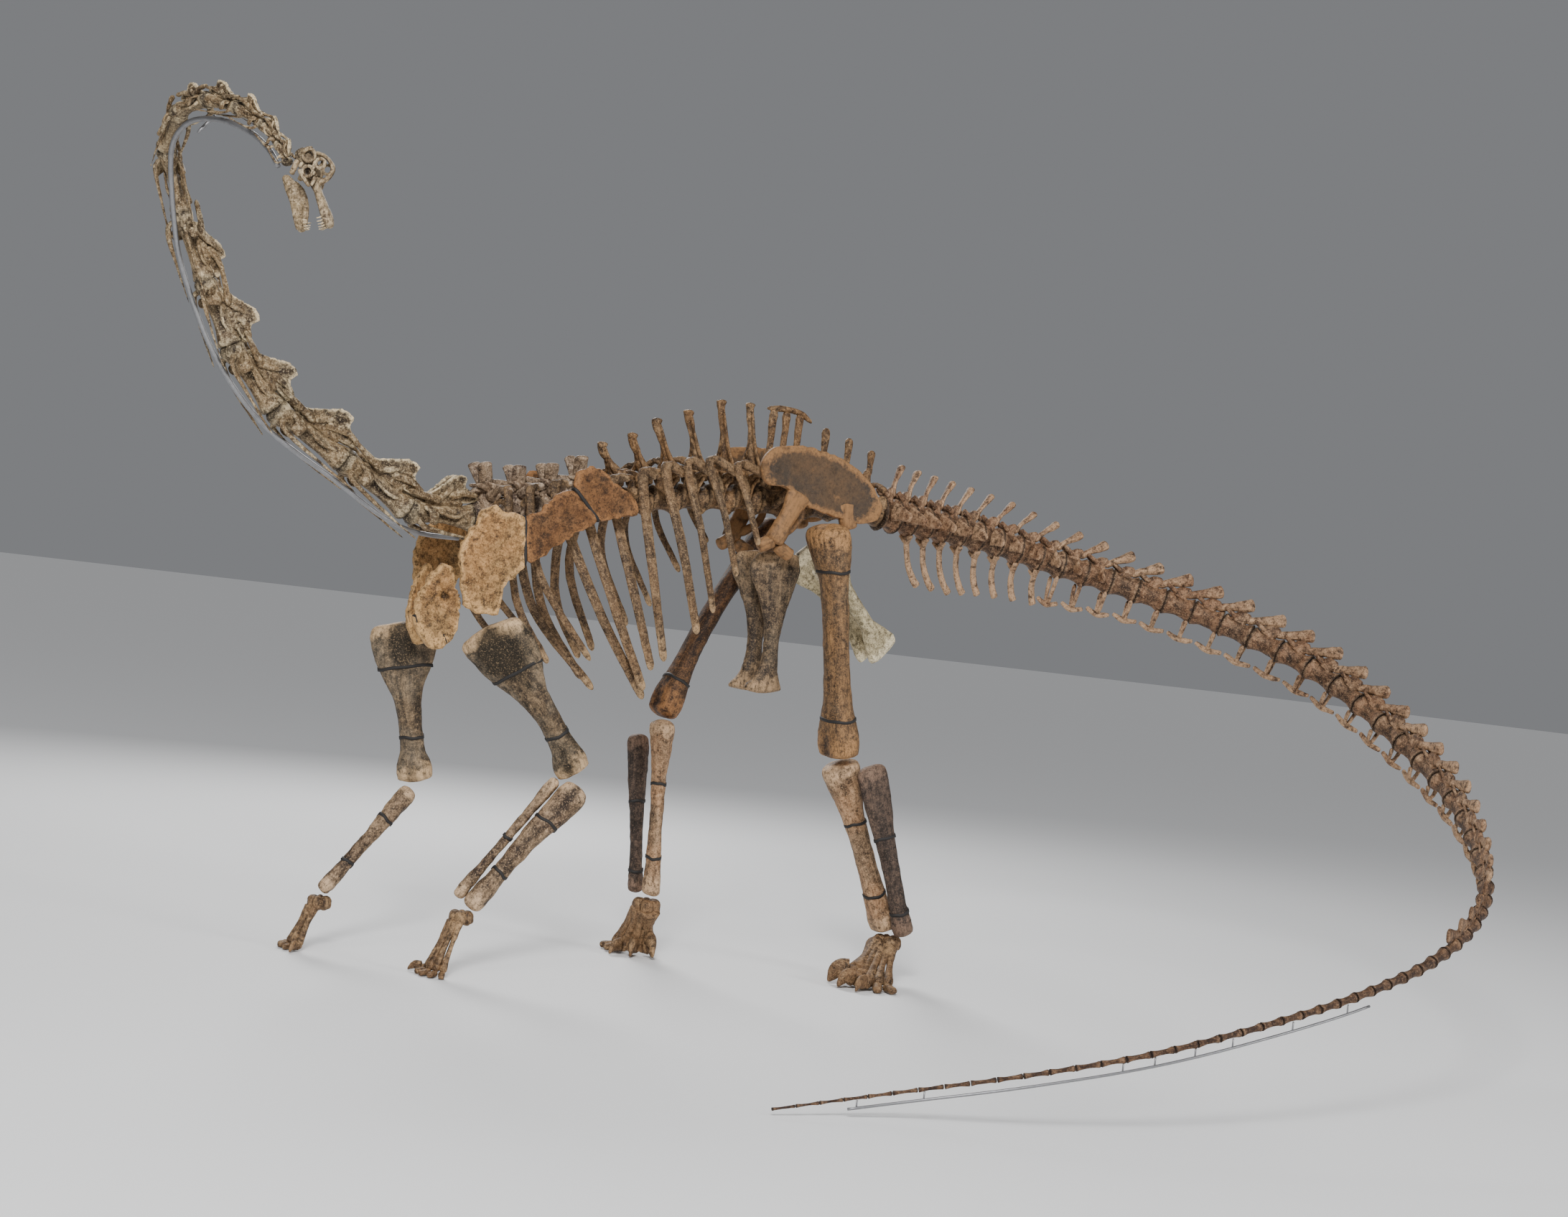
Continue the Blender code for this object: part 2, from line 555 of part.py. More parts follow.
# ---- shoulders ----------------------------------------------------------------------------
def build_shoulders(skeleton):
    for name, side in SIDES.items():
        moved = Place(SHOULDER_SHIFT[name])
        plate = closed([box_ring(mirrored((x, y, z), side), (half, 0, 0), (0, thick, 0))
                        for x, y, z, half, thick in (
            (-1.675, 0.350, 1.475, 0.060, 0.022), (-1.670, 0.352, 1.600, 0.100, 0.026),
            (-1.648, 0.356, 1.700, 0.134, 0.022), (-1.622, 0.358, 1.820, 0.122, 0.018),
            (-1.622, 0.352, 1.905, 0.072, 0.014))])
        blade = bar(((mirrored((-1.600, 0.357, 1.770), side), 0.080, 0.016),
                     (mirrored((-1.480, 0.360, 1.815), side), 0.088, 0.015),
                     (mirrored((-1.330, 0.366, 1.915), side), 0.098, 0.013),
                     (mirrored((-1.180, 0.362, 2.010), side), 0.116, 0.012),
                     (mirrored((-1.060, 0.350, 2.055), side), 0.092, 0.009)), (-0.62, 0, 0.78))
        skeleton.add(f"scapula_{name}", [moved.put(plate), moved.put(blade)], "bone_rust")
        turned = np.array([0.80, 0.60 * side, 0.0])
        coracoid = closed([oval(mirrored((x, y, z), side), turned * half,
                                np.cross(turned, (0, 0, 1)) * thick, 6)
                           for x, y, z, half, thick in (
            (-1.745, 0.215, 1.315, 0.040, 0.018), (-1.745, 0.215, 1.375, 0.088, 0.024),
            (-1.755, 0.210, 1.480, 0.110, 0.026), (-1.755, 0.210, 1.580, 0.085, 0.018),
            (-1.745, 0.215, 1.655, 0.030, 0.012))])
        skeleton.add(f"coracoid_{name}", [moved.put(coracoid)], "bone_rust")


# ---- legs ---------------------------------------------------------------------------------
FEMUR = ((0.0, 0.060, 0.052, 0, 0), (0.04, 0.084, 0.080, 0, 0), (0.13, 0.088, 0.080, 0, 0),
         (0.27, 0.078, 0.056, 0, 0), (0.55, 0.074, 0.050, 0, 0), (0.76, 0.080, 0.057, 0, 0),
         (0.92, 0.110, 0.086, 0, 0), (1.0, 0.095, 0.078, 0, 0))
TIBIA = ((0.0, 0.070, 0.065, 0, 0), (0.04, 0.088, 0.082, 0, 0), (0.14, 0.075, 0.075, 0, 0),
         (0.32, 0.050, 0.052, 0, 0), (0.62, 0.044, 0.046, 0, 0), (0.85, 0.060, 0.052, 0, 0),
         (0.96, 0.074, 0.058, 0, 0), (1.0, 0.064, 0.050, 0, 0))
FIBULA = ((0.0, 0.026, 0.048, 0, 0), (0.05, 0.031, 0.062, 0, 0), (0.22, 0.029, 0.054, 0, 0),
          (0.50, 0.026, 0.040, 0, 0), (0.80, 0.028, 0.038, 0, 0), (0.95, 0.034, 0.046, 0, 0),
          (1.0, 0.028, 0.038, 0, 0))
HUMERUS = ((0.0, 0.105, 0.034, 0.01, 0), (0.06, 0.146, 0.050, 0, 0), (0.20, 0.140, 0.044, 0, 0),
           (0.36, 0.088, 0.042, -0.01, 0), (0.55, 0.054, 0.042, 0, 0), (0.75, 0.052, 0.042, 0, 0),
           (0.92, 0.072, 0.058, 0, 0), (1.0, 0.062, 0.048, 0, 0))
ULNA = ((0.0, 0.045, 0.045, -0.012, 0), (0.07, 0.062, 0.068, -0.014, 0),
        (0.20, 0.058, 0.058, -0.012, 0), (0.45, 0.044, 0.043, 0, 0), (0.75, 0.036, 0.038, 0, 0),
        (0.94, 0.044, 0.044, 0, 0), (1.0, 0.034, 0.034, 0, 0))
RADIUS = ((0.0, 0.028, 0.028, 0, 0), (0.06, 0.033, 0.034, 0, 0), (0.30, 0.025, 0.025, 0, 0),
          (0.70, 0.025, 0.025, 0, 0), (0.94, 0.033, 0.034, 0, 0), (1.0, 0.028, 0.028, 0, 0))


def down_from(high, low, skip_high, skip_low):
    """The stretch between two joints, shortened at each end."""
    high, low = np.asarray(high), np.asarray(low)
    run = unit(low - high)
    return high + run * skip_high, low - run * skip_low


def resized(stations, size):
    """A bone's stations with both half sizes multiplied."""
    return [(t, wide * size[0], deep * size[1], *shift) for t, wide, deep, *shift in stations]


def build_hind_leg(skeleton, name, side):
    hip, knee, ankle = (mirrored(p, side) for p in (HIP, KNEE[name], ANKLE[name]))
    lateral = np.array([0, side, 0.0])
    start, end = down_from(hip + (0.015, 0.025 * side, 0.035), knee, 0.0, 0.014)
    femur = long_bone(start, end, lateral, resized(FEMUR, FEMUR_SIZE[name]), bow=THIGH_BOW[name])
    skeleton.add(f"femur_{name}", [femur], "bone_rust")
    start, end = down_from(knee, ankle, 0.018, 0.026)
    inward = np.array([0.0, -0.030 * side, 0.0])
    shin = resized(TIBIA, TIBIA_SIZE[name])
    skeleton.add(f"tibia_{name}", [long_bone(start + inward, end + inward, lateral, shin)], "bone_rust")
    behind = FIBULA_BACK[name]
    top = np.array([behind, 0.098 * side, -0.030])
    foot = np.array([0.3 * behind, 0.088 * side, -0.005])
    skeleton.add(f"fibula_{name}", [long_bone(start + top, end + foot, lateral, FIBULA)], "bone_grey")


def build_fore_leg(skeleton, name, side):
    glenoid, elbow, wrist = (mirrored(p, side) for p in (GLENOID[name], ELBOW[name], WRIST[name]))
    seen_wide = (0.85, -0.53, 0.0)
    start, end = down_from(glenoid + (0.03, 0.03 * side, -0.015), elbow, 0.0, 0.034)
    humerus = long_bone(start, end, seen_wide, HUMERUS, bow=ARM_BOW[name])
    skeleton.add(f"humerus_{name}", [humerus], "bone_grey")
    start, end = down_from(elbow, wrist, 0.036, 0.036)
    run = unit(end - start)
    if name == "left":
        front = unit(np.cross(run, (0.53, 0.85, 0.0)))
        front = front if front[2] > 0 else -front
        ulna_off, radius_off = front * -0.022, front * 0.072
    else:
        front = np.array([0.53, 0.85, 0.0])
        ulna_off, radius_off = front * -0.038, front * 0.044
    ulna = resized(ULNA, ULNA_SIZE[name])
    skeleton.add(f"ulna_{name}", [long_bone(start + ulna_off, end + ulna_off * 0.9, front, ulna)],
                 "bone_dark")
    radius = long_bone(start + radius_off + run * RADIUS_LOWER, end + radius_off * 0.86, front, RADIUS)
    skeleton.add(f"radius_{name}", [radius], "bone_dark")


def digit(knuckle_high, knuckle_low, tip, width, claw, lift):
    """One toe: the long foot bone, and the toe lying on the floor, with a claw where it has one."""
    high, low, tip = (np.asarray(p, float) for p in (knuckle_high, knuckle_low, tip))
    across = np.cross(tip - low, (0, 0, 1.0))
    shells = [bar(((high, width * 0.42, width * 0.40), (low, width * 0.48, width * 0.42)), across)]
    toe_rings = []
    for t, scale in ((-0.12, 0.54), (1.0, 0.16 if claw else 0.40)):
        half = width * scale
        point = low + (tip - low) * t
        height = half * (1.25 if claw else 1.0)
        point[2] = height + lift
        toe_rings.append(box_ring(point, unit(across) * half, (0, 0, height)))
    shells.append(closed(toe_rings))
    return shells


def build_foot(skeleton, node, ankle, toes, swing, widths, claws, block, spread, reach):
    """A foot: wrist or ankle bones as one block, and five splayed digits flat on the floor."""
    side = RIGHT if toes[1] > 0 else LEFT
    top = np.asarray(ankle, float) + (0, 0, -block[2])
    shells = [closed([oval(top + (0, 0, dz), (block[0] * s, 0, 0), (0, block[1] * s, 0), 7, 0.2)
                      for dz, s in ((block[2] - 0.004, 0.85), (0.5 * block[2], 1.0),
                                    (-0.6 * block[2], 0.9))])]
    for k, (width, claw) in enumerate(zip(widths, claws)):
        lift = 0.0007 * k
        angle = (k - 2) * spread + swing
        out = np.array([-math.cos(angle), side * math.sin(angle), 0.0])
        high = top + out * (0.62 * block[0]) + (0, 0, -0.15 * block[2])
        low = np.array([*toes, 0.0]) + out * (0.70 * reach) + (0, 0, width * 0.60)
        tip = low + out * reach * (0.85 if claw else 0.50)
        shells += digit(high, low, tip, width, claw, lift)
    skeleton.add(node, shells, "bone_rust")


# ---- tail ---------------------------------------------------------------------------------
def tail_lengths():
    """Vertebrae lengthen down the tail, hold, then shorten into the whip."""
    count = sum(TAIL_PARTS)
    numbers = np.arange(count)
    lengths = np.interp(numbers, (0, 18, 26, 40, count - 1), (0.088, 0.160, 0.160, 0.095, 0.080))
    return lengths


def tail_radius(s):
    return float(np.interp(s, (0, 0.6, 1.6, 3.0, 4.0, 5.0, 6.0, 8.0),
                           (0.086, 0.080, 0.074, 0.064, 0.046, 0.028, 0.017, 0.006)))


def blade(low, high):
    """An upright plate between two (x, z, half length, half thickness) ends."""
    return closed([box_ring((x, 0, z), (half, 0, 0), (0, thick, 0)) for x, z, half, thick in (low, high)])


def tail_fittings(spot, number, length, radius):
    """Spine, side arms and chevron of one tail vertebra."""
    height = float(np.interp(number, (0, 6, 12, 24, 32, 36), (0.25, 0.22, 0.165, 0.135, 0.085, 0.06)))
    sweep = float(np.interp(number, (0, 4, 8, 16, 30), (0.05, 0.09, 0.115, 0.135, 0.12)))
    thick = max(0.014 * radius / 0.07, 0.006)
    shells = [blade((0.0, 0.5 * radius, 0.24 * length, 1.6 * thick), (sweep, height, 0.021, thick))]
    if number < ARMED:
        reach = float(np.interp(number, (0, 12), (0.19, 0.095)))
        shells.append(bar((((0.01, -reach, -0.010), 0.014, 0.010), ((0, 0, 0.012), 0.026, 0.020),
                           ((0.01, reach, -0.010), 0.014, 0.010)), (1, 0, 0)))
    depth = float(np.interp(number, (0, 9, 11, 24, 30), (0.25, 0.215, 0.16, 0.115, 0.075)))
    lag = 0.5 * length - 0.026
    if 0 < number < 11:
        shells.append(blade((lag, -0.72 * radius, 0.014, 0.030), (lag + 0.050, -depth, 0.015, 0.010)))
    elif 11 <= number < 29:
        shells.append(blade((0.5 * lag, -0.55 * radius, 0.012, 0.020),
                            (0.5 * lag, -depth, 0.26 * length, 0.010)))
    return [spot.put(shell) for shell in shells]


def build_tail(skeleton):
    route = Route(TAIL_ROUTE, [(0, 0, 1)] * len(TAIL_ROUTE), towards_tail=True)
    lengths = tail_lengths()
    lengths *= route.length / lengths.sum()
    ends = np.concatenate([[0.0], np.cumsum(lengths)])
    first = 0
    for part, count in enumerate(TAIL_PARTS, 1):
        faces = ends[first:first + count + 1]
        whip = part > WHIP_FROM
        shells = [spools(route, faces, tail_radius, 5 if whip else 6, 1.05, 0.76 if part < 3 else 0.0)]
        for k, (low, high) in enumerate(zip(faces, faces[1:])):
            number = first + k
            if number < SPINED:
                middle = 0.5 * (low + high)
                shells += tail_fittings(route.place(middle), number, high - low, tail_radius(middle))
        skeleton.add(f"tail_{part}", shells, "bone_dark" if whip else "bone_tan")
        first += count
    build_tail_rod(skeleton, route)


def build_tail_rod(skeleton, route):
    """The thin steel rod below the whip of the tail, with its short posts, down to the floor."""
    stops = np.linspace(*ROD_REACH, 14)
    points = []
    for s in stops:
        drop = float(np.interp(s, ROD_REACH, ROD_DROP)) + tail_radius(s)
        points.append(route.point(s) - (0, 0, drop))
    points[-1][2] = ROD_RADIUS
    points[-2][2] = max(points[-2][2], ROD_RADIUS)
    posts = []
    for s in ROD_POSTS:
        low = np.array([np.interp(s, stops, [p[k] for p in points]) for k in range(3)])
        high = route.point(s) - (0, 0, tail_radius(s) * 1.05 + GAP)
        posts.append(closed([oval(low, (0.003, 0, 0), (0, 0.003, 0), 4),
                             oval(high, (0.003, 0, 0), (0, 0.003, 0), 4)]))
    skeleton.add_tube("tail_rod", points, ROD_RADIUS, "steel", posts)


# ---- head ---------------------------------------------------------------------------------
def head_place():
    """The skull's own directions: x back from the snout, y to its right, z up out of the crown."""
    forward = unit(SNOUT)
    crown = unit(np.asarray(CROWN) - forward * np.dot(CROWN, forward))
    return Place(HEAD_AT, -forward, np.cross(forward, crown), crown)


def head_point(forward, up, right=0.0):
    return (-forward, right, up)


def peg(forward, root, tip, right, lean):
    """One tooth, from inside the jaw bone to its point."""
    return bar(((head_point(forward, root, right), 0.0040, 0.0040),
                (head_point(forward + lean, tip, right), 0.0018, 0.0018)), (0, 1, 0))


def build_head(skeleton):
    spot = head_place()
    cranium = [oval(head_point(f, u), (0, w, 0), (0, 0, h), 8, math.pi / 8) for f, u, w, h in (
        (-0.016, 0.018, 0.024, 0.022), (0.010, 0.016, 0.046, 0.046), (0.055, 0.016, 0.054, 0.050),
        (0.095, 0.020, 0.046, 0.044), (0.115, 0.048, 0.034, 0.026), (0.160, 0.058, 0.028, 0.016),
        (0.215, 0.050, 0.034, 0.019), (0.262, 0.040, 0.036, 0.020), (0.284, 0.034, 0.020, 0.012))]
    shells = [closed(cranium)]
    arch = ((0.016, 0.050), (0.030, 0.088), (0.070, 0.110), (0.100, 0.100), (0.120, 0.060))
    shells.append(bar([(head_point(f, u), 0.011, 0.007) for f, u in arch], (0, 1, 0)))
    for side in (LEFT, RIGHT):
        shells.append(bar(((head_point(0.050, -0.006, 0.040 * side), 0.016, 0.010),
                           (head_point(0.090, -0.028, 0.042 * side), 0.013, 0.007)), (1, 0, 0)))
        for forward, right in ((0.276, 0.007), (0.266, 0.017), (0.252, 0.025)):
            shells.append(peg(forward, 0.036, 0.006, right * side, 0.006))
    orbit = closed([oval(head_point(0.070, 0.034, y), (0.016, 0, 0), (0, 0, 0.017), 7)
                    for y in (-0.08, 0.08)])
    skeleton.add("skull", [spot.put(shell) for shell in shells], "bone_pale", [spot.put(orbit)])
    jaw = []
    for side in (LEFT, RIGHT):
        jaw.append(bar(((head_point(0.094, -0.050, 0.042 * side), 0.010, 0.008),
                        (head_point(0.135, -0.034, 0.041 * side), 0.023, 0.008),
                        (head_point(0.190, -0.024, 0.036 * side), 0.024, 0.008),
                        (head_point(0.245, -0.022, 0.027 * side), 0.017, 0.009),
                        (head_point(0.276, -0.022, 0.004 * side), 0.014, 0.010)), (0, 0, 1)))
        for forward, right in ((0.268, 0.009), (0.254, 0.019)):
            jaw.append(peg(forward, -0.020, 0.002, right * side, 0.004))
    skeleton.add("jaw", [spot.put(shell) for shell in jaw], "bone_pale")


# ---- the whole ----------------------------------------------------------------------------
def main():
    clear_scene()
    skeleton = Skeleton()
    build_head(skeleton)
    build_neck(skeleton)
    build_back(skeleton)
    build_sacrum(skeleton)
    build_hips(skeleton)
    build_shoulders(skeleton)
    for name, side in SIDES.items():
        build_hind_leg(skeleton, name, side)
        build_fore_leg(skeleton, name, side)
        build_foot(skeleton, f"fore_foot_{name}", mirrored(WRIST[name], side), FORE_TOES[name],
                   FORE_SWING[name], (0.042, 0.040, 0.040, 0.038, 0.036),
                   (True, False, False, False, False), (0.055, 0.060, 0.040), 0.46, 0.090)
        build_foot(skeleton, f"hind_foot_{name}", mirrored(ANKLE[name], side), HIND_TOES[name],
                   HIND_SWING[name], (0.064, 0.058, 0.052, 0.046, 0.040),
                   (True, True, True, False, False), (0.070, 0.078, 0.045), 0.46, 0.135)
    build_tail(skeleton)


main()
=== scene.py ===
"""Dresses the mounted skeleton of a long-necked, whip-tailed dinosaur.

Every bone is a closed numpy surface laid over its solid, with procedural bone finishes, two
steel rods, a pale floor, soft studio light and a camera low on the animal's left front.
Shapes are worked out about a point on the floor below the hips: x towards the tail, y towards
the animal's right, z up, in metres.
"""
from __future__ import annotations

import logging
import math
from dataclasses import dataclass, field
from enum import Enum
from typing import Any, Callable, Iterable, Optional, Sequence

import bpy
import numpy as np
from mathutils import Matrix


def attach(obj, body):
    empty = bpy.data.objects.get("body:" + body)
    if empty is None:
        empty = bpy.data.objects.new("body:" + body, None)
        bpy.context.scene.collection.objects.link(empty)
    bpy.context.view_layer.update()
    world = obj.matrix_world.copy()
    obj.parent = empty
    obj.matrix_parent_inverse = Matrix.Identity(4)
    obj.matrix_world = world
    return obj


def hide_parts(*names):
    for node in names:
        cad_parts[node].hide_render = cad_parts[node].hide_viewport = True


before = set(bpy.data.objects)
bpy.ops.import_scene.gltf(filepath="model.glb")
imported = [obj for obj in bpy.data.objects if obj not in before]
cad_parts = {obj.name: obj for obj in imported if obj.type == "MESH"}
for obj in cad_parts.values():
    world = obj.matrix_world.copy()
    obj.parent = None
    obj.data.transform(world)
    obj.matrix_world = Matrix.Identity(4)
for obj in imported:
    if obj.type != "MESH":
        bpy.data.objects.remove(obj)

LOG = logging.getLogger("skeleton")
Array = np.ndarray
Point = tuple[float, float, float]
Table = tuple[tuple[float, ...], ...]

HIP_POINT = np.array([0.2705, 1.2575, 0.0])
SEED = 20411
AFT: Point = (1.0, 0.0, 0.0)
ACROSS: Point = (0.0, 1.0, 0.0)
UP: Point = (0.0, 0.0, 1.0)


class Side(Enum):
    """The animal's two sides; the value is the sign of y."""

    LEFT = -1.0
    RIGHT = 1.0

    @property
    def tag(self) -> str:
        """The word used in node names."""
        return self.name.lower()


class Slot(Enum):
    """Material slots of the record."""

    PALE = "bone_pale"
    TAN = "bone_tan"
    RUST = "bone_rust"
    GREY = "bone_grey"
    DARK = "bone_dark"
    STEEL = "steel"


# ---- curves and frames ----------------------------------------------------------------------
def unit(vectors: Any) -> Array:
    """Vectors scaled to length one along the last axis."""
    vectors = np.asarray(vectors, float)
    return vectors / np.maximum(np.linalg.norm(vectors, axis=-1, keepdims=True), 1e-12)


def smooth(points: Any, per_span: int = 8) -> Array:
    """A Catmull-Rom curve through the points.

    Args:
        points: the points the curve passes through.
        per_span: samples in each stretch between two points.

    Returns:
        The sampled line, its last point included.
    """
    points = np.asarray(points, float)
    padded = np.vstack([2 * points[0] - points[1], points, 2 * points[-1] - points[-2]])
    a, b, c, d = (padded[k:len(padded) - 3 + k][:, None, :] for k in range(4))
    t = np.linspace(0.0, 1.0, per_span, endpoint=False)[None, :, None]
    spans = 0.5 * (2 * b + (c - a) * t + (2 * a - 5 * b + 4 * c - d) * t ** 2
                   + (3 * b - a - 3 * c + d) * t ** 3)
    return np.vstack([spans.reshape(-1, points.shape[1]), points[-1:]])


def reading(table: Any, at: Array) -> Array:
    """A table's columns read smoothly at given places of its first column.

    Each stretch is a cubic with the mean of the neighbouring slopes at its ends, kept from
    overshooting by limiting the slopes to three times the smaller neighbour.

    Args:
        table: rows of (place, value, value, ...).
        at: places to read.

    Returns:
        An array with one row for each place and one column for each value.
    """
    table = np.asarray(table, float)
    x, y = table[:, 0], table[:, 1:]
    step = np.diff(x)[:, None]
    slope = np.diff(y, axis=0) / step
    tangent = np.vstack([slope[:1], 0.5 * (slope[:-1] + slope[1:]), slope[-1:]])
    steep = np.abs(slope)
    limit = 3 * np.minimum(np.vstack([steep, steep[-1:]]), np.vstack([steep[:1], steep]))
    tangent = np.clip(tangent, -limit, limit)
    at = np.clip(np.asarray(at, float), x[0], x[-1])
    k = np.clip(np.searchsorted(x, at, side="right") - 1, 0, len(x) - 2)
    h = step[k]
    t = ((at - x[k]) / (x[k + 1] - x[k]))[:, None]
    return ((2 * t ** 3 - 3 * t ** 2 + 1) * y[k] + (t ** 3 - 2 * t ** 2 + t) * h * tangent[k]
            + (3 * t ** 2 - 2 * t ** 3) * y[k + 1] + (t ** 3 - t ** 2) * h * tangent[k + 1])


def graded(at: float, places: Sequence[float], values: Sequence[float]) -> float:
    """One value read from the straight lines between (place, value) points."""
    return float(np.interp(at, places, values))


def turns(count: int) -> Array:
    """Angles of points spread evenly round a circle."""
    return np.arange(count) * 2 * math.pi / count


def oval(angles: Array, squareness: float) -> tuple[Array, Array]:
    """Signed 2/squareness powers of the cosine and the sine: 2 is a circle, more is squarer.

    Args:
        angles: angles round a section.
        squareness: how square it is.

    Returns:
        Both powers.
    """
    power = 2.0 / squareness
    across, up = np.cos(angles), np.sin(angles)
    return np.sign(across) * np.abs(across) ** power, np.sign(up) * np.abs(up) ** power


def eased(count: int) -> Array:
    """Places from 0 to 1 that crowd towards both ends, as half a cosine wave does."""
    return 0.5 - 0.5 * np.cos(np.linspace(0.0, math.pi, count))


@dataclass(frozen=True)
class Place:
    """A spot with its own tailward, rightward and upward directions."""

    at: Array
    axes: Array

    @classmethod
    def upright(cls, at: Any) -> "Place":
        """A spot whose directions are the skeleton's own."""
        return cls(np.asarray(at, float), np.eye(3))

    def out(self, points: Array) -> Array:
        """Local points taken to the skeleton's frame."""
        return self.at + points @ self.axes


@dataclass
class Route:
    """A smooth line read by distance, with a direction for its upper side."""

    points: Any
    tops: Any
    towards_tail: bool
    line: Array = field(init=False)
    top_line: Array = field(init=False)
    reach: Array = field(init=False)

    def __post_init__(self) -> None:
        """Works out the line, its upper side and the distance to each sample."""
        self.line = smooth(self.points)
        self.top_line = smooth(self.tops)
        steps = np.linalg.norm(np.diff(self.line, axis=0), axis=1)
        self.reach = np.concatenate([[0.0], np.cumsum(steps)])

    @property
    def length(self) -> float:
        """The whole length of the line."""
        return float(self.reach[-1])

    def point(self, s: Any) -> Array:
        """Points at distances s."""
        return np.stack([np.interp(s, self.reach, self.line[:, k]) for k in range(3)], axis=-1)

    def place(self, s: float) -> Place:
        """The spot at distance s, its axes tailward, rightward and upward.

        Args:
            s: distance along the line.

        Returns:
            The spot.
        """
        step = 0.03
        along = unit(self.point(min(s + step, self.length)) - self.point(max(s - step, 0.0)))
        back = along if self.towards_tail else -along
        top = np.array([np.interp(s, self.reach, self.top_line[:, k]) for k in range(3)])
        top = unit(top - back * top.dot(back))
        return Place(self.point(s), np.stack([back, np.cross(top, back), top]))


# ---- shells ---------------------------------------------------------------------------------
@dataclass
class Shell:
    """A closed surface: points, four-sided and three-sided faces, and what its finish reads.

    tone runs from 0 on a shaft to 1 at a joint end or rim, the painted-shade mask from 0 to 1
    in hollows, gaps and shaded parts, and grain holds the local position with its length
    squeezed, so that streaks run along a bone.
    """

    points: Array
    quads: Array
    tris: Array
    tone: Array
    shade_mask: Array
    grain: Array

    def at(self, place: Place) -> "Shell":
        """The same shell set in a place."""
        return Shell(place.out(self.points), self.quads, self.tris, self.tone, self.shade_mask, self.grain)

    @staticmethod
    def join(shells: Sequence["Shell"]) -> "Shell":
        """One shell holding several.

        Args:
            shells: the shells to hold.

        Returns:
            The one shell.
        """
        starts = np.cumsum([0] + [len(shell.points) for shell in shells])
        return Shell(np.vstack([s.points for s in shells]),
                     np.vstack([s.quads + n for s, n in zip(shells, starts)]),
                     np.vstack([s.tris + n for s, n in zip(shells, starts)]),
                     np.concatenate([s.tone for s in shells]),
                     np.concatenate([s.shade_mask for s in shells]),
                     np.vstack([s.grain for s in shells]))


def loft(centres: Any, wide: Any, deep: Any, half_wide: Any, half_deep: Any, around: int = 12,
         squareness: float = 2.0, swell: Optional[Array] = None, tone: Any = 0.0,
         shade_mask: Any = 0.0) -> Shell:
    """A closed surface round a line of centres.

    The point at row t and angle a is the centre, plus the width direction times half the width
    times the signed 2/squareness power of cos a, plus the depth direction times half the depth
    times the same power of sin a; swell multiplies the offset. A pole closes each end.

    Args:
        centres: (rows, 3) centres.
        wide: width directions, one or one for each row.
        deep: depth directions, one or one for each row.
        half_wide: half widths, one for each row.
        half_deep: half depths, one for each row.
        around: points round each row.
        squareness: 2 gives ovals, more gives rounded boxes.
        swell: (rows, around) factors on the offsets, or None.
        tone: end wear, one value or one for each row or point.
        shade_mask: painted shade in hollows, gaps and shaded parts, one value or one for each row or point.

    Returns:
        The closed shell.
    """
    centres = np.asarray(centres, float)
    rows = len(centres)
    wide = np.broadcast_to(np.asarray(wide, float), (rows, 3))
    deep = np.broadcast_to(np.asarray(deep, float), (rows, 3))
    half_wide = np.broadcast_to(np.asarray(half_wide, float), (rows,))
    half_deep = np.broadcast_to(np.asarray(half_deep, float), (rows,))
    across, up = oval(turns(around), squareness)
    factor = np.ones((rows, around)) if swell is None else swell
    u = half_wide[:, None] * across[None, :] * factor
    v = half_deep[:, None] * up[None, :] * factor
    grid = centres[:, None, :] + u[..., None] * wide[:, None, :] + v[..., None] * deep[:, None, :]
    run = np.concatenate([[0.0], np.cumsum(np.linalg.norm(np.diff(centres, axis=0), axis=1))])
    grain = np.stack([u, v, np.broadcast_to(run[:, None] * 0.10, u.shape)], axis=-1)
    k = np.arange(rows - 1)[:, None] * around
    j = np.arange(around)[None, :]
    nxt = (j + 1) % around
    quads = np.stack([k + j, k + nxt, k + around + nxt, k + around + j], axis=-1).reshape(-1, 4)
    first, last = rows * around, rows * around + 1
    ring, turned = np.arange(around), (np.arange(around) + 1) % around
    end = (rows - 1) * around
    tris = np.vstack([np.stack([np.full(around, first), turned, ring], axis=-1),
                      np.stack([np.full(around, last), end + ring, end + turned], axis=-1)])
    tones, pits = spread(tone, rows, around), spread(shade_mask, rows, around)
    points = np.vstack([grid.reshape(-1, 3), centres[:1], centres[-1:]])
    shell = Shell(points, quads, tris, np.concatenate([tones, tones[:1], tones[-1:]]),
                  np.concatenate([pits, pits[:1], pits[-1:]]),
                  np.vstack([grain.reshape(-1, 3), grain[:1, 0], grain[-1:, 0]]))
    return outwards(shell)


def spread(value: Any, rows: int, around: int) -> Array:
    """One value, or one for each row or point, as one for each point."""
    shape = (-1, 1) if np.ndim(value) == 1 else np.shape(value)
    return np.broadcast_to(np.asarray(value, float).reshape(shape), (rows, around)).ravel()


def outwards(shell: Shell) -> Shell:
    """The shell with its faces turned outwards.

    Args:
        shell: a closed shell.

    Returns:
        The same shell.
    """
    if volume(shell) < 0:
        shell.quads, shell.tris = shell.quads[:, ::-1], shell.tris[:, ::-1]
    return shell


def volume(shell: Shell) -> float:
    """The signed volume inside a closed shell: a sixth of the sum of its corners' products.

    Args:
        shell: a closed shell.

    Returns:
        Its volume, below 0 where its faces point inwards.
    """
    p = shell.points - shell.points.mean(0)
    a, b, c = (p[corner] for corner in corners(shell).T)
    return float(np.einsum("ij,ij->i", a, np.cross(b, c)).sum() / 6.0)


def corners(shell: Shell) -> Array:
    """The three corners of each triangle, the four-sided faces cut in two."""
    return np.vstack([shell.quads[:, [0, 1, 2]], shell.quads[:, [0, 2, 3]], shell.tris])


